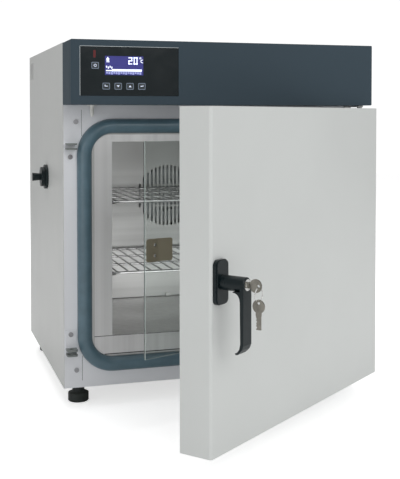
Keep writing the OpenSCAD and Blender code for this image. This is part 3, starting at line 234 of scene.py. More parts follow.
class Effects:
    """The effects that several finishes share, each a node group built once."""

    def __init__(self) -> None:
        """Build every group."""
        self.peel = self._orange_peel()
        self.brush = self._brushed_grain()
        self.mould = self._moulded_grain()
        self.dust = self._settled_dust()
        self.handling = self._handling()

    @staticmethod
    def _orange_peel() -> bpy.types.NodeTree:
        """Make the soft dimples of powder coat, with a slow drift in its shade.

        Returns:
            The node group.
        """
        group = EffectGroup("orange_peel", {"Scale": 500.0})
        place = group.place()
        fine = group.noise(place, group.given["Scale"], 2.0)
        return group.close(Height=fine, Drift=group.noise(place, 3.0, 3.0))

    @staticmethod
    def _brushed_grain() -> bpy.types.NodeTree:
        """Make long fine scratches along the stretch of the noise, broad streaks and soft clouds.

        Returns:
            The node group.
        """
        group = EffectGroup("brushed_grain", {"Stretch": Grain.ALONG_Z.value})
        place = group.place()
        inputs = {0: place, 1: group.given["Stretch"]}
        stretched = group.add("ShaderNodeVectorMath", inputs, operation="MULTIPLY").outputs[0]
        return group.close(
            Height=group.noise(stretched, 1.0, 3.0, Roughness=0.65),
            Streak=group.noise(stretched, 0.07, 2.0),
            Cloud=group.noise(place, 9.0, 2.0),
        )

    @staticmethod
    def _moulded_grain() -> bpy.types.NodeTree:
        """Make the eroded grain of a plastic mould, with broad patches.

        Returns:
            The node group.
        """
        group = EffectGroup("moulded_grain", {"Scale": 1500.0})
        place, scale = group.place(), group.given["Scale"]
        cell = group.add("ShaderNodeTexVoronoi", {"Vector": place, "Scale": scale}).outputs["Distance"]
        height = group.calc("MULTIPLY", cell, group.noise(place, scale, 2.0))
        return group.close(Height=height, Patch=group.noise(place, 40.0, 3.0))

    @staticmethod
    def _settled_dust() -> bpy.types.NodeTree:
        """Make thin dust that lies on what faces up, broken by noise.

        Returns:
            The node group.
        """
        group = EffectGroup("settled_dust", {"Amount": 0.3})
        normal = group.add("ShaderNodeNewGeometry").outputs["Normal"]
        up = group.add("ShaderNodeSeparateXYZ", {0: normal}).outputs["Z"]
        speckle = group.noise(group.place(), 28.0, 6.0, Roughness=0.7)
        broken = group.ramp(speckle, (0.35, 0.75), (0.2, 1.0))
        mask = group.calc("MULTIPLY", group.ramp(up, (0.6, 1.0)), broken)
        return group.close(Mask=group.calc("MULTIPLY", mask, group.given["Amount"]))

    @staticmethod
    def _handling() -> bpy.types.NodeTree:
        """Make faint smears and finger marks that change how a surface shines.

        Returns:
            The node group.
        """
        group = EffectGroup("handling", {"Scale": 14.0, "Low": 0.3, "High": 0.4})
        smear = group.noise(group.place(), group.given["Scale"], 5.0, Roughness=0.6, Distortion=0.6)
        return group.close(Roughness=group.ramp(smear, SOFT, (group.given["Low"], group.given["High"])))


class Look(Graph):
    """Material in the making, with its Principled shader and the shared effects."""

    def __init__(self, material: bpy.types.Material, effects: Effects) -> None:
        """Keep the material's tree, its shader and the effects.

        Args:
            material: The material, its nodes in use.
            effects: The shared node groups.
        """
        super().__init__(material.node_tree)
        self.shader = self.node("BSDF_PRINCIPLED")
        self.effects = effects

    def effect(self, tree: bpy.types.NodeTree, **inputs: Any) -> Any:
        """Place a shared effect and give its outputs."""
        return self.add("ShaderNodeGroup", inputs, node_tree=tree).outputs

    def smear(self, scale: float, low: float, high: float) -> Any:
        """Roughness that handling has left between two values."""
        return self.effect(self.effects.handling, Scale=scale, Low=low, High=high)["Roughness"]

    def fill(self, inputs: dict[str, Any]) -> None:
        """Set or join inputs of the shader by name."""
        for name, value in inputs.items():
            self.feed(self.shader.inputs[name], value)

    def bump(self, height: Any, strength: float, distance: float) -> None:
        """Feed a height to the shader's normal; the distance is its relief in metres."""
        inputs = {"Height": height, "Strength": strength, "Distance": distance}
        self.fill({"Normal": self.add("ShaderNodeBump", inputs).outputs["Normal"]})

    def recolour(self, axis: str, span: Span, other: Colour) -> None:
        """Blend the shader's colour into another one along an axis of the part.

        Args:
            axis: X, Y or Z.
            span: Where the blend starts and ends.
            other: The other colour.
        """
        own = self.shader.inputs["Base Color"].links[0].from_socket
        where = self.add("ShaderNodeSeparateXYZ", {0: self.place()}).outputs[axis]
        self.fill({"Base Color": self.blend(where, span, own, other)})


@dataclass(frozen=True)
class Finish:
    """Base of every finish: a name, a colour and a way to make its material."""

    name: str
    colour: Colour

    def times(self, factor: float) -> Colour:
        """The finish's colour times a factor, held at white."""
        return tuple(min(1.0, channel * factor) for channel in self.colour)

    def make(self, effects: Effects) -> bpy.types.Material:
        """Make the material.

        Args:
            effects: The shared node groups.

        Returns:
            The material.
        """
        material = bpy.data.materials.new(self.name)
        material.use_nodes = True
        material.diffuse_color = (*self.colour, 1.0)
        look = Look(material, effects)
        look.fill({"Base Color": self.colour})
        self.work(look)
        return material

    def work(self, look: Look) -> None:
        """Fill in the shader. Each finish has its own."""
        raise NotImplementedError


@dataclass(frozen=True)
class PowderCoat(Finish):
    """Baked powder coat on sheet steel: dimpled, with light dust and faint handling."""

    roughness: float = 0.38
    peel_scale: float = 520.0
    peel_depth: float = 0.16
    peel_height: float = 0.0006
    dust: float = 0.12
    dust_colour: Colour = (0.62, 0.60, 0.56)
    drift: float = 0.03
    smear_scale: float = 7.0
    coat: float = 0.12
    coat_roughness: float = 0.25
    level: float = 0.5

    def work(self, look: Look) -> None:
        """Fill in the coat.

        Args:
            look: The material in the making.
        """
        peel = look.effect(look.effects.peel, Scale=self.peel_scale)
        dust = look.effect(look.effects.dust, Amount=self.dust)
        shade = look.blend(peel["Drift"], SOFT, self.times(1 - self.drift), self.times(1 + self.drift))
        look.fill({
            "Base Color": look.mix(dust["Mask"], shade, self.dust_colour),
            "Roughness": look.smear(self.smear_scale, self.roughness - 0.04, self.roughness + 0.06),
            "Coat Weight": self.coat,
            "Coat Roughness": self.coat_roughness,
            "Specular IOR Level": self.level,
        })
        look.bump(peel["Height"], self.peel_depth, self.peel_height)


@dataclass(frozen=True)
class KeeperCoat(PowderCoat):
    """Frame paint on a flange whose standing lugs are worn to the dull metal."""

    worn: Colour = srgb(120, 126, 124)
    worn_span: Span = (-0.2525, -0.2540)

    def work(self, look: Look) -> None:
        """Fill in the coat, and wear it off the lugs."""
        super().work(look)
        look.recolour("Y", self.worn_span, self.worn)


@dataclass(frozen=True)
class BrushedSteel(Finish):
    """Stainless sheet with a directional grain and cloudy streaks."""

    grain: Grain = Grain.ALONG_Z
    roughness: float = 0.34
    depth: float = 0.12
    height: float = 0.0002
    streak: float = 0.16
    metallic: float = 1.0

    def work(self, look: Look) -> None:
        """Fill in the brushed sheet.

        Args:
            look: The material in the making.
        """
        brush = look.effect(look.effects.brush, Stretch=self.grain.value)
        darker, lighter = self.times(1 - self.streak), self.times(1 + self.streak)
        look.fill({
            "Base Color": look.blend(brush["Streak"], SHARP, darker, lighter),
            "Roughness": look.ramp(brush["Cloud"], SOFT, (self.roughness - 0.05, self.roughness + 0.08)),
            "Metallic": self.metallic,
        })
        look.bump(brush["Height"], self.depth, self.height)


@dataclass(frozen=True)
class ShadedSteel(BrushedSteel):
    """Brushed sheet whose upper end lies in the shade of the chamber's ceiling."""

    shade: float = 0.92
    shade_span: Span = (0.425, 0.445)

    def work(self, look: Look) -> None:
        """Fill in the sheet, and shade its upper end."""
        super().work(look)
        look.recolour("Z", self.shade_span, self.times(self.shade))


@dataclass(frozen=True)
class PlatedMetal(Finish):
    """Zinc, nickel or chrome plating over pressed steel, wire or turned metal."""

    roughness: float = 0.25
    cloud: float = 0.10
    grain_scale: float = 900.0
    depth: float = 0.05
    height: float = 0.0001
    smear_scale: float = 60.0

    def work(self, look: Look) -> None:
        """Fill in the plating.

        Args:
            look: The material in the making.
        """
        mould = look.effect(look.effects.mould, Scale=self.grain_scale)
        look.fill({
            "Base Color": look.blend(mould["Patch"], SHARP, self.times(1 - self.cloud), self.colour),
            "Roughness": look.smear(self.smear_scale, self.roughness - 0.06, self.roughness + 0.10),
            "Metallic": 1.0,
        })
        look.bump(mould["Height"], self.depth, self.height)


@dataclass(frozen=True)
class MouldedPlastic(Finish):
    """Moulded plastic or rubber with mould grain, dust and wear in its shine."""

    roughness: float = 0.45
    grain_scale: float = 1600.0
    grain_depth: float = 0.25
    grain_height: float = 0.0002
    dust: float = 0.10
    dust_colour: Colour = (0.45, 0.44, 0.42)
    worn_gain: float = 1.18
    worn_lift: float = 0.004
    worn_span: Span = (0.4, 0.75)
    smear_scale: float = 30.0
    coat: float = 0.0
    coat_roughness: float = 0.12
    level: float = 0.5

    def work(self, look: Look) -> None:
        """Fill in the plastic.

        Args:
            look: The material in the making.
        """
        mould = look.effect(look.effects.mould, Scale=self.grain_scale)
        dust = look.effect(look.effects.dust, Amount=self.dust)
        worn = tuple(min(1.0, channel * self.worn_gain + self.worn_lift) for channel in self.colour)
        shade = look.blend(mould["Patch"], self.worn_span, self.colour, worn)
        look.fill({
            "Base Color": look.mix(dust["Mask"], shade, self.dust_colour),
            "Roughness": look.smear(self.smear_scale, self.roughness - 0.06, self.roughness + 0.08),
            "Coat Weight": self.coat,
            "Coat Roughness": self.coat_roughness,
            "Specular IOR Level": self.level,
        })
        look.bump(mould["Height"], self.grain_depth, self.grain_height)


@dataclass(frozen=True)
class GlossPanel(Finish):
    """Back-printed glossy film over the control panel, with faint smears."""

    roughness: float = 0.10
    peel_scale: float = 90.0
    peel_depth: float = 0.03
    peel_height: float = 0.0003
    smear_scale: float = 40.0
    lighter: float = 1.25
    coat: float = 0.15
    coat_roughness: float = 0.06
    level: float = 0.35

    def work(self, look: Look) -> None:
        """Fill in the film.

        Args:
            look: The material in the making.
        """
        peel = look.effect(look.effects.peel, Scale=self.peel_scale)
        look.fill({
            "Base Color": look.blend(peel["Drift"], SOFT, self.colour, self.times(self.lighter)),
            "Roughness": look.smear(self.smear_scale, self.roughness, self.roughness + 0.12),
            "Coat Weight": self.coat,
            "Coat Roughness": self.coat_roughness,
            "Specular IOR Level": self.level,
        })
        look.bump(peel["Height"], self.peel_depth, self.peel_height)


@dataclass(frozen=True)
class LitPrintAndPaintedGlow(Finish):
    """Light behind a display or a printed sign, and the painted glow of edges that catch the light: a glow
    broken by the display's fine dot rows.
    """

    glow: float = 1.0
    dots: float = 1400.0
    contrast: float = 0.10
    roughness: float = 0.25
    depth: float = 0.05
    height: float = 0.0001

    def work(self, look: Look) -> None:
        """Fill in the lit surface.

        Args:
            look: The material in the making.
        """
        mould = look.effect(look.effects.mould, Scale=self.dots)
        shade = look.blend(mould["Patch"], SOFT, self.times(1 - self.contrast), self.colour)
        look.fill({
            "Base Color": shade,
            "Emission Color": shade,
            "Emission Strength": self.glow,
            "Roughness": self.roughness,
        })
        look.bump(mould["Height"], self.depth, self.height)


@dataclass(frozen=True)
class ClearGlass(Finish):
    """Tempered pane with faint smears."""

    roughness: float = 0.02
    smear_scale: float = 18.0
    peel_scale: float = 30.0
    tint: float = 0.985
    ior: float = 1.45

    def work(self, look: Look) -> None:
        """Fill in the glass.

        Args:
            look: The material in the making.
        """
        peel = look.effect(look.effects.peel, Scale=self.peel_scale)
        look.fill({
            "Base Color": look.mix(peel["Drift"], self.colour, self.times(self.tint)),
            "Roughness": look.smear(self.smear_scale, 0.0, self.roughness),
            "Metallic": 0.0,
            "Transmission Weight": 1.0,
            "IOR": self.ior,
        })


@dataclass(frozen=True)
class MineralWool(Finish):
    """Matted fibre of the insulation, darker in its hollows with painted shade."""

    stretch: Point = (300.0, 300.0, 60.0)
    hollow_shade: float = 0.75
    roughness: float = 0.95
    depth: float = 0.8
    height: float = 0.002

    def work(self, look: Look) -> None:
        """Fill in the wool.

        Args:
            look: The material in the making.
        """
        brush = look.effect(look.effects.brush, Stretch=self.stretch)
        # painted shade: darker where the fibre's bump is low, in its hollows
        shade = look.mix(brush["Height"], self.times(self.hollow_shade), self.colour)
        look.fill({"Base Color": shade, "Roughness": self.roughness})
        look.bump(brush["Height"], self.depth, self.height)


@dataclass(frozen=True)
class FloorPaint(Finish):
    """Plain pale studio floor, lifted to white where the camera sees it in the open."""

    lift: float = 0.6
    peel_scale: float = 60.0
    patch: float = 0.99
    roughness: float = 0.8
    level: float = 0.1

    def work(self, look: Look) -> None:
        """Fill in the floor's paint.

        Args:
            look: The material in the making.
        """
        peel = look.effect(look.effects.peel, Scale=self.peel_scale)
        seen = look.add("ShaderNodeLightPath").outputs["Is Camera Ray"]
        look.fill({
            "Base Color": look.mix(peel["Drift"], self.times(self.patch), self.colour),
            "Roughness": self.roughness,
            "Specular IOR Level": self.level,
            "Emission Color": look.mix(seen, (0.0, 0.0, 0.0), (self.lift, self.lift, self.lift)),
            "Emission Strength": 1.0,
        })


class Palette:
    """All finishes of the incubator, each made into its material once."""

    LIGHT_COAT = PowderCoat("light_powder_coat", srgb(212, 214, 212))
    DOOR_COAT = PowderCoat("door_powder_coat", srgb(222, 225, 223), roughness=0.36)
    # painted light: the casing's own paint, made lighter on the frame to make up for the shade of the door
    # and the hood
    FRAME_COAT_PAINTED_LIGHT = PowderCoat("frame_powder_coat_painted_light", srgb(238, 240, 244), roughness=0.32)
    # painted light: the keepers' flange takes the same lightened frame paint
    KEEPER = KeeperCoat("keeper_powder_coat", srgb(238, 240, 244), roughness=0.32)
    SLATE_COAT = PowderCoat(
        "slate_powder_coat", srgb(68, 81, 90), roughness=0.50, dust=0.04, coat=0.0, level=0.06
    )
    STEEL_UPRIGHT = BrushedSteel("brushed_steel_upright", srgb(200, 200, 199), streak=0.05, depth=0.06)
    STEEL_LEVEL = BrushedSteel("brushed_steel_level", srgb(200, 200, 199), grain=Grain.ALONG_X)
    TRIM = BrushedSteel(
        "pale_trim_steel", srgb(226, 226, 226), roughness=0.36, streak=0.06, metallic=0.75
    )
    BAFFLE = ShadedSteel(
        "baffle_steel", srgb(204, 204, 203), grain=Grain.ALONG_X, streak=0.06, roughness=0.38, metallic=0.85
    )
    ZINC = PlatedMetal("zinc_plate", srgb(206, 207, 206), roughness=0.32)
    CHROME = PlatedMetal("bright_chrome", srgb(228, 228, 226), roughness=0.14)
    WIRE = PlatedMetal("bright_wire", srgb(196, 196, 196), roughness=0.12, cloud=0.3)
    NICKEL = PlatedMetal("nickel_key", srgb(160, 157, 148), roughness=0.2, cloud=0.5)
    SCREW = PlatedMetal("dull_screw", srgb(190, 190, 194), roughness=0.30, cloud=0.4)
    GALVANISED = PlatedMetal("galvanised_sheet", srgb(188, 192, 195), roughness=0.4, cloud=0.25)
    HEATED = PlatedMetal("heated_tube", srgb(110, 98, 88), roughness=0.45, cloud=0.4)
    BRONZE = PowderCoat("bronze_plate", srgb(144, 138, 118), roughness=0.36, drift=0.08, dust=0.04)
    ENAMEL = PowderCoat("motor_enamel", srgb(70, 72, 74), roughness=0.45)
    SEAL = MouldedPlastic(
        "seal_silicone", srgb(86, 112, 124), roughness=0.34, grain_scale=1100.0, grain_depth=0.10, coat=0.25
    )
    BLACK = MouldedPlastic(
        "grained_black_plastic", srgb(17, 29, 32), roughness=0.30, grain_scale=1300.0, grain_depth=0.15,
        level=0.3,
    )
    FOOT = MouldedPlastic("foot_rubber", srgb(34, 41, 38), roughness=0.5, grain_scale=900.0)
    WHITE = MouldedPlastic("white_nylon", srgb(232, 232, 228), roughness=0.35, grain_depth=0.1)
    KEYCAP = MouldedPlastic(
        "key_plastic", srgb(40, 48, 52), roughness=0.28, grain_depth=0.08, dust=0.03, coat=0.3
    )
    BOARD = MouldedPlastic(
        "circuit_board", srgb(28, 92, 58), roughness=0.35, grain_scale=300.0, grain_depth=0.3
    )
    # dark joints, and the painted shadow in the gap under the trim's sill
    JOINT_AND_SHADOW = MouldedPlastic("dark_gap", srgb(22, 24, 26), roughness=0.8, dust=0.0)
    PANEL = GlossPanel("gloss_panel_film", srgb(18, 27, 30))
    SCREEN = LitPrintAndPaintedGlow("lit_blue_screen", srgb(50, 51, 122), glow=0.5)
    DIM_PRINT = LitPrintAndPaintedGlow("dim_blue_print", srgb(146, 152, 204), glow=0.6)
    WHITE_PRINT = LitPrintAndPaintedGlow("lit_white_print", srgb(228, 234, 250), glow=0.9)
    KEY_PRINT = LitPrintAndPaintedGlow("pale_key_print", srgb(205, 214, 232), glow=0.7)
    KEY_EDGE = LitPrintAndPaintedGlow("key_outline_print", srgb(132, 146, 166), glow=0.3)
    # painted highlight: a glowing pale strip standing in for the glint on the panel's top and left edges
    PAINTED_RIM_GLINT = LitPrintAndPaintedGlow("painted_rim_glint", srgb(196, 202, 204), glow=0.35)
    # the ground edge's pale colour, with a faint painted glow for the light that the edges catch
    GROUND_EDGE_GLOW = LitPrintAndPaintedGlow("ground_glass_edge_glow", srgb(196, 210, 206), glow=0.08)
    RED = LitPrintAndPaintedGlow("red_lamp_lens", srgb(98, 20, 24), glow=0.10)
    GLASS = ClearGlass("clear_pane", srgb(246, 251, 249))
    WOOL = MineralWool("mineral_wool", srgb(214, 206, 172))
    FLOOR = FloorPaint("pale_floor", srgb(250, 250, 250))

    def __init__(self, effects: Effects) -> None:
        """Keep the shared effects; no material is made yet."""
        self.effects = effects
        self.made: dict[str, bpy.types.Material] = {}

    def material(self, finish: Finish) -> bpy.types.Material:
        """Give the material of a finish, made at its first use.

        Args:
            finish: One of the finishes above.

        Returns:
            Its material.
        """
        if finish.name not in self.made:
            self.made[finish.name] = finish.make(self.effects)
        return self.made[finish.name]


Coats = dict[Finish, tuple[str, ...]]


def mesh_of(name: str, build: BMesh, place: Matrix | None = None, smooth: bool = False) -> bpy.types.Mesh:
    """Turn a bmesh into a mesh.

    Args:
        name: Name of the mesh.
        build: The bmesh, freed afterwards.
        place: Transform into the part's frame.
        smooth: Whether faces are shaded smooth.

    Returns:
        The mesh.
    """
    if place is not None:
        build.transform(place)
    bmesh.ops.recalc_face_normals(build, faces=build.faces)
    mesh = bpy.data.meshes.new(name)
    build.to_mesh(mesh)
    build.free()
    mesh.polygons.foreach_set("use_smooth", [smooth] * len(mesh.polygons))
    return mesh


def plates(outlines: Iterable[Outline], thickness: float) -> BMesh:
    """Build upright plates, their fronts at Y 0 and facing -Y.

    Args:
        outlines: Corners of each plate as X and Z.
        thickness: Depth towards +Y.

    Returns:
        The bmesh.
    """
    build = bmesh.new()
    for outline in outlines:
        front = [build.verts.new((x, 0.0, z)) for x, z in outline]
        back = [build.verts.new((vert.co.x, thickness, vert.co.z)) for vert in front]
        build.faces.new(front)
        build.faces.new(back[::-1])
        for i in range(len(front)):
            j = (i + 1) % len(front)
            build.faces.new((front[j], front[i], back[i], back[j]))
    return build


def rectangle(x0: float, x1: float, z0: float, z1: float) -> Outline:
    """Corners of an upright rectangle."""
    return [(x0, z0), (x1, z0), (x1, z1), (x0, z1)]


def rounded_rectangle(width: float, height: float, radius: float) -> Outline:
    """Corners of a centred rectangle with round corners.

    Args:
        width: Its width.
        height: Its height.
        radius: Radius of its corners.

    Returns:
        The corners as X and Z.
    """
    points: Outline = []
    for quarter, (sx, sz) in enumerate(((1, -1), (1, 1), (-1, 1), (-1, -1))):
        x, z = sx * (width / 2 - radius), sz * (height / 2 - radius)
        for step in range(CORNER_STEPS + 1):
            angle = (quarter - 1 + step / CORNER_STEPS) * math.pi / 2
            points.append((x + radius * math.cos(angle), z + radius * math.sin(angle)))
    return points


def arc_band(middle: Point, radius: float, width: float, span: Span) -> Outline:
    """Outline of a band that follows an arc.

    Args:
        middle: Centre of the arc as X and Z.
        radius: Radius of the band's middle.
        width: Width of the band.
        span: Start and end angle in degrees.

    Returns:
        The outline as X and Z.
    """
    x, z = middle
    step = (span[1] - span[0]) / ARC_STEPS
    angles = [math.radians(span[0] + step * i) for i in range(ARC_STEPS + 1)]
    outer, inner = [
        [(x + reach * math.cos(angle), z + reach * math.sin(angle)) for angle in angles]
        for reach in (radius + width / 2, radius - width / 2)
    ]
    return outer + inner[::-1]


@dataclass
class Workshop:
    """What every sub-assembly needs: the loaded frame and the palette."""

    frame: dict[str, Any]
    palette: Palette

    def paint(self, finish: Finish, *nodes: str) -> None:
        """Give CAD nodes a finish.

        Args:
            finish: The finish.
            nodes: Names of the nodes.
        """
        material = self.palette.material(finish)
        for name in nodes:
            for slot in self.frame["nodes"][name].material_slots:
                slot.material = material

    def add(self, name: str, mesh: bpy.types.Mesh, finish: Finish, body: str, slot: str) -> None:
        """Link a new piece, dress it and let it ride on its body.

        Args:
            name: Name of the piece.
            mesh: Its mesh in the part's frame.
            finish: Its finish.
            body: The CAD body that it rides on.
            slot: Name of the record's material slot for the piece; not used.
        """
        mesh.materials.append(self.palette.material(finish))
        piece = bpy.data.objects.new(name, mesh)
        bpy.context.scene.collection.objects.link(piece)
        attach(piece, body)
        LOG.info("piece %s rides on %s", name, body)

    def draw_joints_and_shadows(self, name: str, lines: Iterable[Outline], front: float, slot: str) -> None:
        """Draw fine joints, and painted shadow in gaps, as dark lines on the front of one of the cabinet's
        nodes.

        Args:
            name: Name of the piece.
            lines: Outline of each dark line.
            front: Y of the node's front.
            slot: The node that the lines lie on.
        """
        place = Matrix.Translation((0.0, front - DARK_LINE_DEPTH / 2, 0.0))
        self.add(name, mesh_of(name, plates(lines, DARK_LINE_DEPTH), place), Palette.JOINT_AND_SHADOW, "cabinet", slot)


@dataclass
class Assembly:
    """Base of every sub-assembly: the finish of each CAD node, and the pieces that only the scene has."""

    shop: Workshop
    coats: ClassVar[Coats] = {}

    def dress(self) -> None:
        """Give the CAD nodes their finishes."""
        for finish, nodes in self.coats.items():
            self.shop.paint(finish, *nodes)

    def build(self) -> None:
        """Add the scene's own pieces. Some sub-assemblies have none."""


@dataclass
class Cabinet(Assembly):
    """Painted casing with its base, rear panel and screws."""

    joint_x: float = 260.0 * MM
    joint_zs: tuple[Span, ...] = ((511.0 * MM, 560.0 * MM), (50.0 * MM, 97.0 * MM))
    joint_width: float = 0.7 * MM
    coats: ClassVar[Coats] = {
        Palette.LIGHT_COAT: ("left_side_panel", "right_side_panel", "top_panel", "rear_panel", "base_pan"),
        Palette.FRAME_COAT_PAINTED_LIGHT: ("front_frame",),
        Palette.KEEPER: ("latch_keepers",),
        Palette.SCREW: ("casing_screws",),
        Palette.ZINC: ("foot_bushes", "door_hinges", "glass_brackets"),
        Palette.GALVANISED: ("electronics_tray", "power_supply"),
        Palette.BLACK: ("mains_inlet", "port_sleeve"),
        Palette.WHITE: ("door_sensor",),
    }

    def build(self) -> None:
        """Draw the fine joints between the front frame's uprights and its rails."""
        low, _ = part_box("front_frame")
        half = self.joint_width / 2
        xs = (-self.joint_x, self.joint_x)
        lines = [rectangle(x - half, x + half, *span) for x in xs for span in self.joint_zs]
        self.shop.draw_joints_and_shadows("frame_joint_lines", lines, low.y, "front_frame")


@dataclass
class Chamber(Assembly):
    """Stainless chamber with its trim, baffle, fan, heater, probe and shelves."""

    floor_half: float = 237.0 * MM
    floor_joint: Span = (130.9 * MM, 131.8 * MM)
    sill_half: float = 217.0 * MM
    # band of painted shadow in the gap between the sill and the seal
    sill_shadow_band: Span = (95.8 * MM, 97.6 * MM)
    coats: ClassVar[Coats] = {
        Palette.STEEL_UPRIGHT: ("chamber_liner",),
        Palette.TRIM: ("opening_trim",),
        Palette.BAFFLE: ("rear_baffle",),
        Palette.STEEL_LEVEL: ("shelf_runners",),
        Palette.NICKEL: ("temperature_probe",),
        Palette.ENAMEL: ("fan_motor",),
        Palette.GALVANISED: ("fan_wheel",),
        Palette.HEATED: ("heater_ring",),
        Palette.WOOL: ("insulation", "door_insulation"),
        Palette.WIRE: ("upper_shelf", "lower_shelf"),
        Palette.SEAL: ("door_seal",),
    }

    def build(self) -> None:
        """Draw the joint along the floor's front edge, and a painted shadow line in the gap under the sill,
        where the trim meets the seal.
        """
        low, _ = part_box("opening_trim")
        lines = [
            rectangle(-self.floor_half, self.floor_half, *self.floor_joint),
            # painted shadow: a dark line in the gap between the trim's sill and the seal
            rectangle(-self.sill_half, self.sill_half, *self.sill_shadow_band),
        ]
        self.shop.draw_joints_and_shadows("trim_joint_and_shadow_lines", lines, low.y, "opening_trim")


@dataclass
class ControlHood(Assembly):
    """Slate hood with its glossy panel, lit display, lamp and keys."""

    print_depth: float = 0.05 * MM
    print_proud: float = 0.03 * MM
    rim_width: float = 0.6 * MM
    digit_height: float = 12.8 * MM
    keys: ClassVar[dict[str, Mark]] = {
        "power_key": Mark.POWER,
        "back_key": Mark.BACK,
        "down_key": Mark.DOWN,
        "up_key": Mark.UP,
        "menu_key": Mark.ENTER,
    }
    coats: ClassVar[Coats] = {
        Palette.SLATE_COAT: ("hood_body", "hood_front"),
        Palette.PANEL: ("control_panel",),
        Palette.SCREEN: ("display",),
        Palette.RED: ("alarm_lamp",),
        Palette.BOARD: ("control_board",),
        Palette.KEYCAP: tuple(keys),
    }

    def print_place(self, node: str) -> Matrix:
        """Place of a print, just proud of the middle of a node's front."""
        low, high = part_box(node)
        return Matrix.Translation(((low.x + high.x) / 2, low.y - self.print_proud, (low.z + high.z) / 2))

    def print_on(self, name: str, outlines: list[Outline], node: str, body: str, finish: Finish) -> None:
        """Print flat shapes on the front of a node.

        Args:
            name: Name of the piece.
            outlines: Shapes as X and Z in metres from the middle of the node's front.
            node: CAD node that carries the print.
            body: CAD body that the print rides on.
            finish: Its finish.
        """
        mesh = mesh_of(name, plates(outlines, self.print_depth), self.print_place(node))
        self.shop.add(name, mesh, finish, body, node)

    def digit_outlines(self, left: float, base: float) -> list[Outline]:
        """Outlines of the generic temperature, a two and a nought, made of bars.

        Args:
            left: Left edge of the first digit.
            base: Bottom of the digits.

        Returns:
            One outline for each bar.
        """
        height = self.digit_height
        width, bar = height * 0.56, height * 0.15
        outlines: list[Outline] = []
        for index, strokes in enumerate(("abged", "abcdef")):
            x = left + index * (width + bar * 1.3)
            ends = x, x + width
            bars = {
                "a": rectangle(*ends, base + height - bar, base + height),
                "g": rectangle(*ends, base + (height - bar) / 2, base + (height + bar) / 2),
                "d": rectangle(*ends, base, base + bar),
                "f": rectangle(x, x + bar, base + height / 2, base + height),
                "b": rectangle(x + width - bar, x + width, base + height / 2, base + height),
                "e": rectangle(x, x + bar, base, base + height / 2),
                "c": rectangle(x + width - bar, x + width, base, base + height / 2),
            }
            outlines += [bars[name] for name in strokes]
        return outlines

    def build_display(self) -> None:
        """Print the temperature, its unit, the icon, the bar and the rows of small marks on the screen."""
        low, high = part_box("display")
        width, height = high.x - low.x, high.z - low.z
        digit = self.digit_height

        def cell(x0: float, x1: float, z0: float, z1: float) -> Outline:
            """Rectangle given in shares of the display's width and height from its middle."""
            return rectangle(x0 * width, x1 * width, z0 * height, z1 * height)

        left, base = 0.11 * width, 0.07 * height
        ring = left + 1.72 * digit, base + 0.88 * digit
        unit = left + 2.00 * digit, base + 0.45 * digit
        signs = self.digit_outlines(left, base)
        signs.append(arc_band(ring, 0.1 * digit, 0.08 * digit, (0, 359)))
        signs.append(arc_band(unit, 0.2 * digit, 0.1 * digit, (60, 300)))
        signs += [
            cell(-0.46, -0.39, 0.24, 0.38),
            cell(-0.44, -0.41, 0.38, 0.44),
            cell(-0.46, -0.38, 0.17, 0.21),
            cell(-0.47, -0.30, -0.30, -0.24),
            cell(-0.32, 0.46, -0.31, -0.19),
        ]
        for i in range(4):
            x, drop = -0.47 + i * 0.045, i % 2
            signs.append(cell(x, x + 0.028, -0.12 - 0.05 * drop, -0.02 - 0.04 * drop))
        marks = []
        for i in range(15):
            x = -0.47 + i * 0.062
            marks.append(cell(x, x + 0.05, -0.43 - 0.02 * (i % 3), -0.335))
        self.print_on("display_signs", signs, "display", "cabinet", Palette.WHITE_PRINT)
        self.print_on("display_scale", marks, "display", "cabinet", Palette.DIM_PRINT)

    def build_rim(self) -> None:
        """Lay the bevelled bead round the control panel: a glowing painted highlight above and left, the
        panel's own dark film below and right.
        """
        low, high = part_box("control_panel")
        hood_low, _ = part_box("hood_front")
        wide = self.rim_width
        inner = rectangle(low.x, high.x, low.z, high.z)
        outer = rectangle(low.x - wide, high.x + wide, low.z - wide, high.z + wide)
        for name, finish, sides in (
            ("panel_rim_glint", Palette.PAINTED_RIM_GLINT, (2, 3)),
            ("panel_rim_dark", Palette.PANEL, (0, 1)),
        ):
            build = bmesh.new()
            for i in sides:
                near, far = [
                    [build.verts.new((x, y, z)) for (x, z), y in
                     ((outer[k], hood_low.y), (inner[k], low.y), (inner[k], hood_low.y))]
                    for k in (i, (i + 1) % 4)
                ]
                build.faces.new(near)
                build.faces.new(far[::-1])
                for k in range(3):
                    m = (k + 1) % 3
                    build.faces.new((near[k], far[k], far[m], near[m]))
            self.shop.add(name, mesh_of(name, build), finish, "cabinet", "control_panel")

    @staticmethod
    def mark_outlines(mark: Mark, size: float) -> list[Outline]:
        """Outlines of a key's sign.

        Args:
            mark: Which sign.
            size: Its width in metres.

        Returns:
            The outlines, centred.
        """
        half, bar = size / 2, size * 0.2
        shapes = {
            Mark.DOWN: [[(-half, half * 0.6), (0.0, -half * 0.7), (half, half * 0.6)]],
            Mark.UP: [[(-half, -half * 0.6), (half, -half * 0.6), (0.0, half * 0.7)]],
            Mark.BACK: [
                rectangle(-half, -half + bar, -half * 0.2, half),
                rectangle(-half + bar, half, -half * 0.2, -half * 0.2 + bar),
            ],
            Mark.ENTER: [
                rectangle(half - bar, half, -half * 0.1, half * 0.8),
                rectangle(-half * 0.4, half - bar, -half * 0.1, -half * 0.1 + bar),
                [(-half, 0.0), (-half * 0.35, -half * 0.5), (-half * 0.35, half * 0.5)],
            ],
            Mark.POWER: [
                arc_band((0.0, 0.0), half * 0.8, bar * 0.8, (120, 420)),
                rectangle(-bar * 0.4, bar * 0.4, half * 0.15, half * 1.05),
            ],
        }
        return shapes[mark]

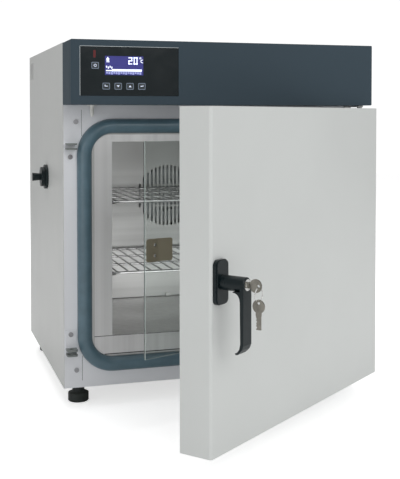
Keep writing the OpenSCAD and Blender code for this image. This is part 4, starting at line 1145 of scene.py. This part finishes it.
    def build_keys(self) -> None:
        """Print the outline and the sign of each key."""
        for key, mark in self.keys.items():
            low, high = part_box(key)
            width, height = (high.x - low.x) * 0.80, (high.z - low.z) * 0.78
            build = bmesh.new()
            outer, inner = [
                [build.verts.new((x, 0.0, z)) for x, z in outline]
                for outline in (
                    rounded_rectangle(width, height, width * 0.14),
                    rounded_rectangle(width * 0.88, height * 0.86, width * 0.11),
                )
            ]
            for i in range(len(outer)):
                j = (i + 1) % len(outer)
                build.faces.new((outer[i], outer[j], inner[j], inner[i]))
            extruded = bmesh.ops.extrude_face_region(build, geom=build.faces[:])
            moved = [item for item in extruded["geom"] if isinstance(item, bmesh.types.BMVert)]
            bmesh.ops.translate(build, vec=(0.0, self.print_depth, 0.0), verts=moved)
            name = f"{key}_outline"
            self.shop.add(name, mesh_of(name, build, self.print_place(key)), Palette.KEY_EDGE, key, key)
            self.print_on(f"{key}_sign", self.mark_outlines(mark, width * 0.42), key, key, Palette.KEY_PRINT)

    def build(self) -> None:
        """Build the panel's rim and the display's and the keys' prints."""
        self.build_rim()
        self.build_display()
        self.build_keys()


@dataclass
class OuterDoor(Assembly):
    """Insulated door with its liner, bushes, latch rod and lever handle."""

    coats: ClassVar[Coats] = {
        Palette.DOOR_COAT: ("door_shell",),
        Palette.STEEL_UPRIGHT: ("door_liner",),
        Palette.WHITE: ("hinge_bushes",),
        Palette.ZINC: ("latch_rod", "upper_hook", "lower_hook"),
        Palette.BLACK: ("handle_base", "handle_lever"),
        Palette.CHROME: ("lock_cylinder", "key_ring"),
        Palette.NICKEL: ("cylinder_key", "spare_key"),
    }


@dataclass
class InnerDoor(Assembly):
    """Glass door with its clamps and catch plate. Sizes are those of the pane when it is shut."""

    axis_x: float = 222.0 * MM
    axis_y: float = -258.0 * MM
    open_angle: float = 23.0
    pane_x: Span = (-216.0 * MM, 212.0 * MM)
    pane_y: Span = (-257.2 * MM, -253.2 * MM)
    pane_z: Span = (127.0 * MM, 505.0 * MM)
    edge_skin: float = 0.15 * MM
    edge_share: float = 0.45
    screw_x: float = -197.0 * MM
    screw_y: float = -260.1 * MM
    screw_zs: Span = (306.5 * MM, 325.5 * MM)
    screw_radius: float = 2.6 * MM
    screw_dome: float = 0.5 * MM
    coats: ClassVar[Coats] = {
        Palette.GLASS: ("glass_pane",),
        Palette.ZINC: ("glass_hinges",),
        Palette.BRONZE: ("glass_catch",),
    }

    def swing(self) -> Matrix:
        """Turn from where the door is shut to where it stands open."""
        pivot = Matrix.Translation((self.axis_x, self.axis_y, 0.0))
        return pivot @ Matrix.Rotation(math.radians(self.open_angle), 4, "Z") @ pivot.inverted()

    def build_edge(self) -> None:
        """Cover the front of the pane's four edges with their ground, frosted face, pale and with a faint
        painted glow for the light that the edges catch.
        """
        (x0, x1), (z0, z1), skin = self.pane_x, self.pane_z, self.edge_skin
        bars = [
            rectangle(x0 - skin, x0, z0 - skin, z1 + skin),
            rectangle(x1, x1 + skin, z0 - skin, z1 + skin),
            rectangle(x0, x1, z0 - skin, z0),
            rectangle(x0, x1, z1, z1 + skin),
        ]
        build = plates(bars, self.edge_share * (self.pane_y[1] - self.pane_y[0]))
        place = self.swing() @ Matrix.Translation((0.0, self.pane_y[0], 0.0))
        mesh = mesh_of("pane_ground_edge_glow", build, place)
        self.shop.add("pane_ground_edge_glow", mesh, Palette.GROUND_EDGE_GLOW, "inner_door", "glass_pane")

    def build_screws(self) -> None:
        """Dome the two bright screws that hold the catch plate."""
        build = bmesh.new()
        squash = Matrix.Diagonal((1.0, self.screw_dome / self.screw_radius, 1.0, 1.0))
        for z in self.screw_zs:
            head = bmesh.ops.create_uvsphere(build, u_segments=24, v_segments=12, radius=self.screw_radius)
            seat = Matrix.Translation((self.screw_x, self.screw_y, z))
            bmesh.ops.transform(build, matrix=seat @ squash, verts=head["verts"])
        mesh = mesh_of("catch_screw_heads", build, self.swing(), smooth=True)
        self.shop.add("catch_screw_heads", mesh, Palette.CHROME, "inner_door", "glass_catch")

    def build(self) -> None:
        """Build the pane's ground edge and the catch's screw heads."""
        self.build_edge()
        self.build_screws()


@dataclass
class SmallFittings(Assembly):
    """Port plug and levelling feet."""

    coats: ClassVar[Coats] = {
        Palette.BLACK: ("port_plug",),
        Palette.FOOT: ("front_left_foot", "front_right_foot", "back_left_foot", "back_right_foot"),
    }


@dataclass(frozen=True)
class Lamp:
    """Soft rectangular light: its place, the point that it faces, its width and height, and its watts."""

    name: str
    place: Point
    aim: Point
    size: Span
    power: float


@dataclass
class Studio:
    """Pale floor, soft lights and the camera at the photograph's viewing angle."""

    shop: Workshop
    eye: Point = (-0.5686, -2.0042, 0.5496)
    yaw: float = 0.299
    pitch: float = -0.029
    focal_px: float = 944.0
    frame_h: float = 479.0
    centre_row: float = 142.8
    sensor: float = 36.0
    reach: float = 50.0
    floor_half: float = 6.0
    ambient: float = 0.40
    backdrop: float = 1.05
    lamps: ClassVar[tuple[Lamp, ...]] = (
        Lamp("front_softbox", (0.9, -3.0, 1.9), (0.0, -0.2, 0.35), (2.2, 1.8), 24.0),
        Lamp("left_softbox", (-2.2, -2.4, 0.7), (0.0, 0.0, 0.35), (1.8, 1.6), 9.5),
        Lamp("top_softbox", (0.0, 0.2, 3.2), (0.0, 0.0, 0.3), (2.6, 2.6), 40.0),
        Lamp("back_softbox", (1.2, 3.0, 1.8), (0.0, 0.0, 0.35), (2.0, 1.6), 16.0),
        Lamp("low_chamber_fill", (0.0, -0.243, 0.200), (0.0, 0.1, 0.17), (0.36, 0.10), 0.20),
        Lamp("high_chamber_fill", (0.0, -0.243, 0.400), (0.0, 0.1, 0.42), (0.36, 0.14), 0.08),
    )

    @staticmethod
    def stand(name: str, data: Any, place: Point, facing: Vector) -> bpy.types.Object:
        """Stand a camera or a light where it looks along a direction.

        Args:
            name: Name of the object.
            data: Its camera or light.
            place: Where it stands.
            facing: The direction.

        Returns:
            The object.
        """
        item = bpy.data.objects.new(name, data)
        item.location = place
        item.rotation_mode = "QUATERNION"
        item.rotation_quaternion = facing.to_track_quat("-Z", "Y")
        bpy.context.scene.collection.objects.link(item)
        return item

    def build_camera(self) -> None:
        """Set up the camera. Its row and focal length are in pixels of the 400 by 479 picture."""
        data = bpy.data.cameras.new("photo_camera")
        data.sensor_width = self.sensor
        data.lens = self.sensor * self.focal_px / self.frame_h
        data.shift_y = -(self.frame_h / 2 - self.centre_row) / self.frame_h
        data.clip_end = self.reach
        level = math.cos(self.pitch)
        facing = Vector((math.sin(self.yaw) * level, math.cos(self.yaw) * level, math.sin(self.pitch)))
        bpy.context.scene.camera = self.stand("photo_camera", data, self.eye, facing)
        LOG.info("camera set")

    def build_floor(self) -> None:
        """Lay the floor under the feet."""
        build = bmesh.new()
        bmesh.ops.create_grid(build, x_segments=2, y_segments=2, size=self.floor_half)
        mesh = mesh_of("studio_floor", build)
        mesh.materials.append(self.shop.palette.material(Palette.FLOOR))
        floor = bpy.data.objects.new("studio_floor", mesh)
        bpy.context.scene.collection.objects.link(floor)
        LOG.info("floor laid")

    def build_lights(self) -> None:
        """Set up the lamps, and the white surroundings that light less than they show."""
        for lamp in self.lamps:
            data = bpy.data.lights.new(lamp.name, "AREA")
            data.shape = "RECTANGLE"
            data.size, data.size_y = lamp.size
            data.energy = lamp.power
            light = self.stand(lamp.name, data, lamp.place, Vector(lamp.aim) - Vector(lamp.place))
            light.visible_camera = False
        world = bpy.data.worlds.new("studio_white")
        world.use_nodes = True
        graph = Graph(world.node_tree)
        rays = graph.add("ShaderNodeLightPath").outputs
        direct = graph.calc("MAXIMUM", rays["Is Camera Ray"], rays["Is Transmission Ray"])
        sky = graph.node("BACKGROUND").inputs
        graph.feed(sky["Strength"], graph.ramp(direct, (0.0, 1.0), (self.ambient, self.backdrop)))
        graph.feed(sky["Color"], (1.0, 1.0, 1.0))
        bpy.context.scene.world = world
        bpy.context.scene.view_settings.view_transform = "Standard"
        LOG.info("lights set")

    def build(self) -> None:
        """Build the camera, the floor and the lights."""
        self.build_camera()
        self.build_floor()
        self.build_lights()


def main() -> None:
    """Load the frame, set up the studio, and dress and build every sub-assembly."""
    logging.basicConfig(level=logging.INFO, format="%(name)s: %(message)s")
    for leftover in list(bpy.data.objects):
        bpy.data.objects.remove(leftover)
    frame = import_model()
    shop = Workshop(frame, Palette(Effects()))
    Studio(shop).build()
    for kind in (Cabinet, Chamber, ControlHood, OuterDoor, InnerDoor, SmallFittings):
        assembly = kind(shop)
        assembly.dress()
        assembly.build()
        LOG.info("%s dressed and built", kind.__name__)


if __name__ == "__main__":
    main()
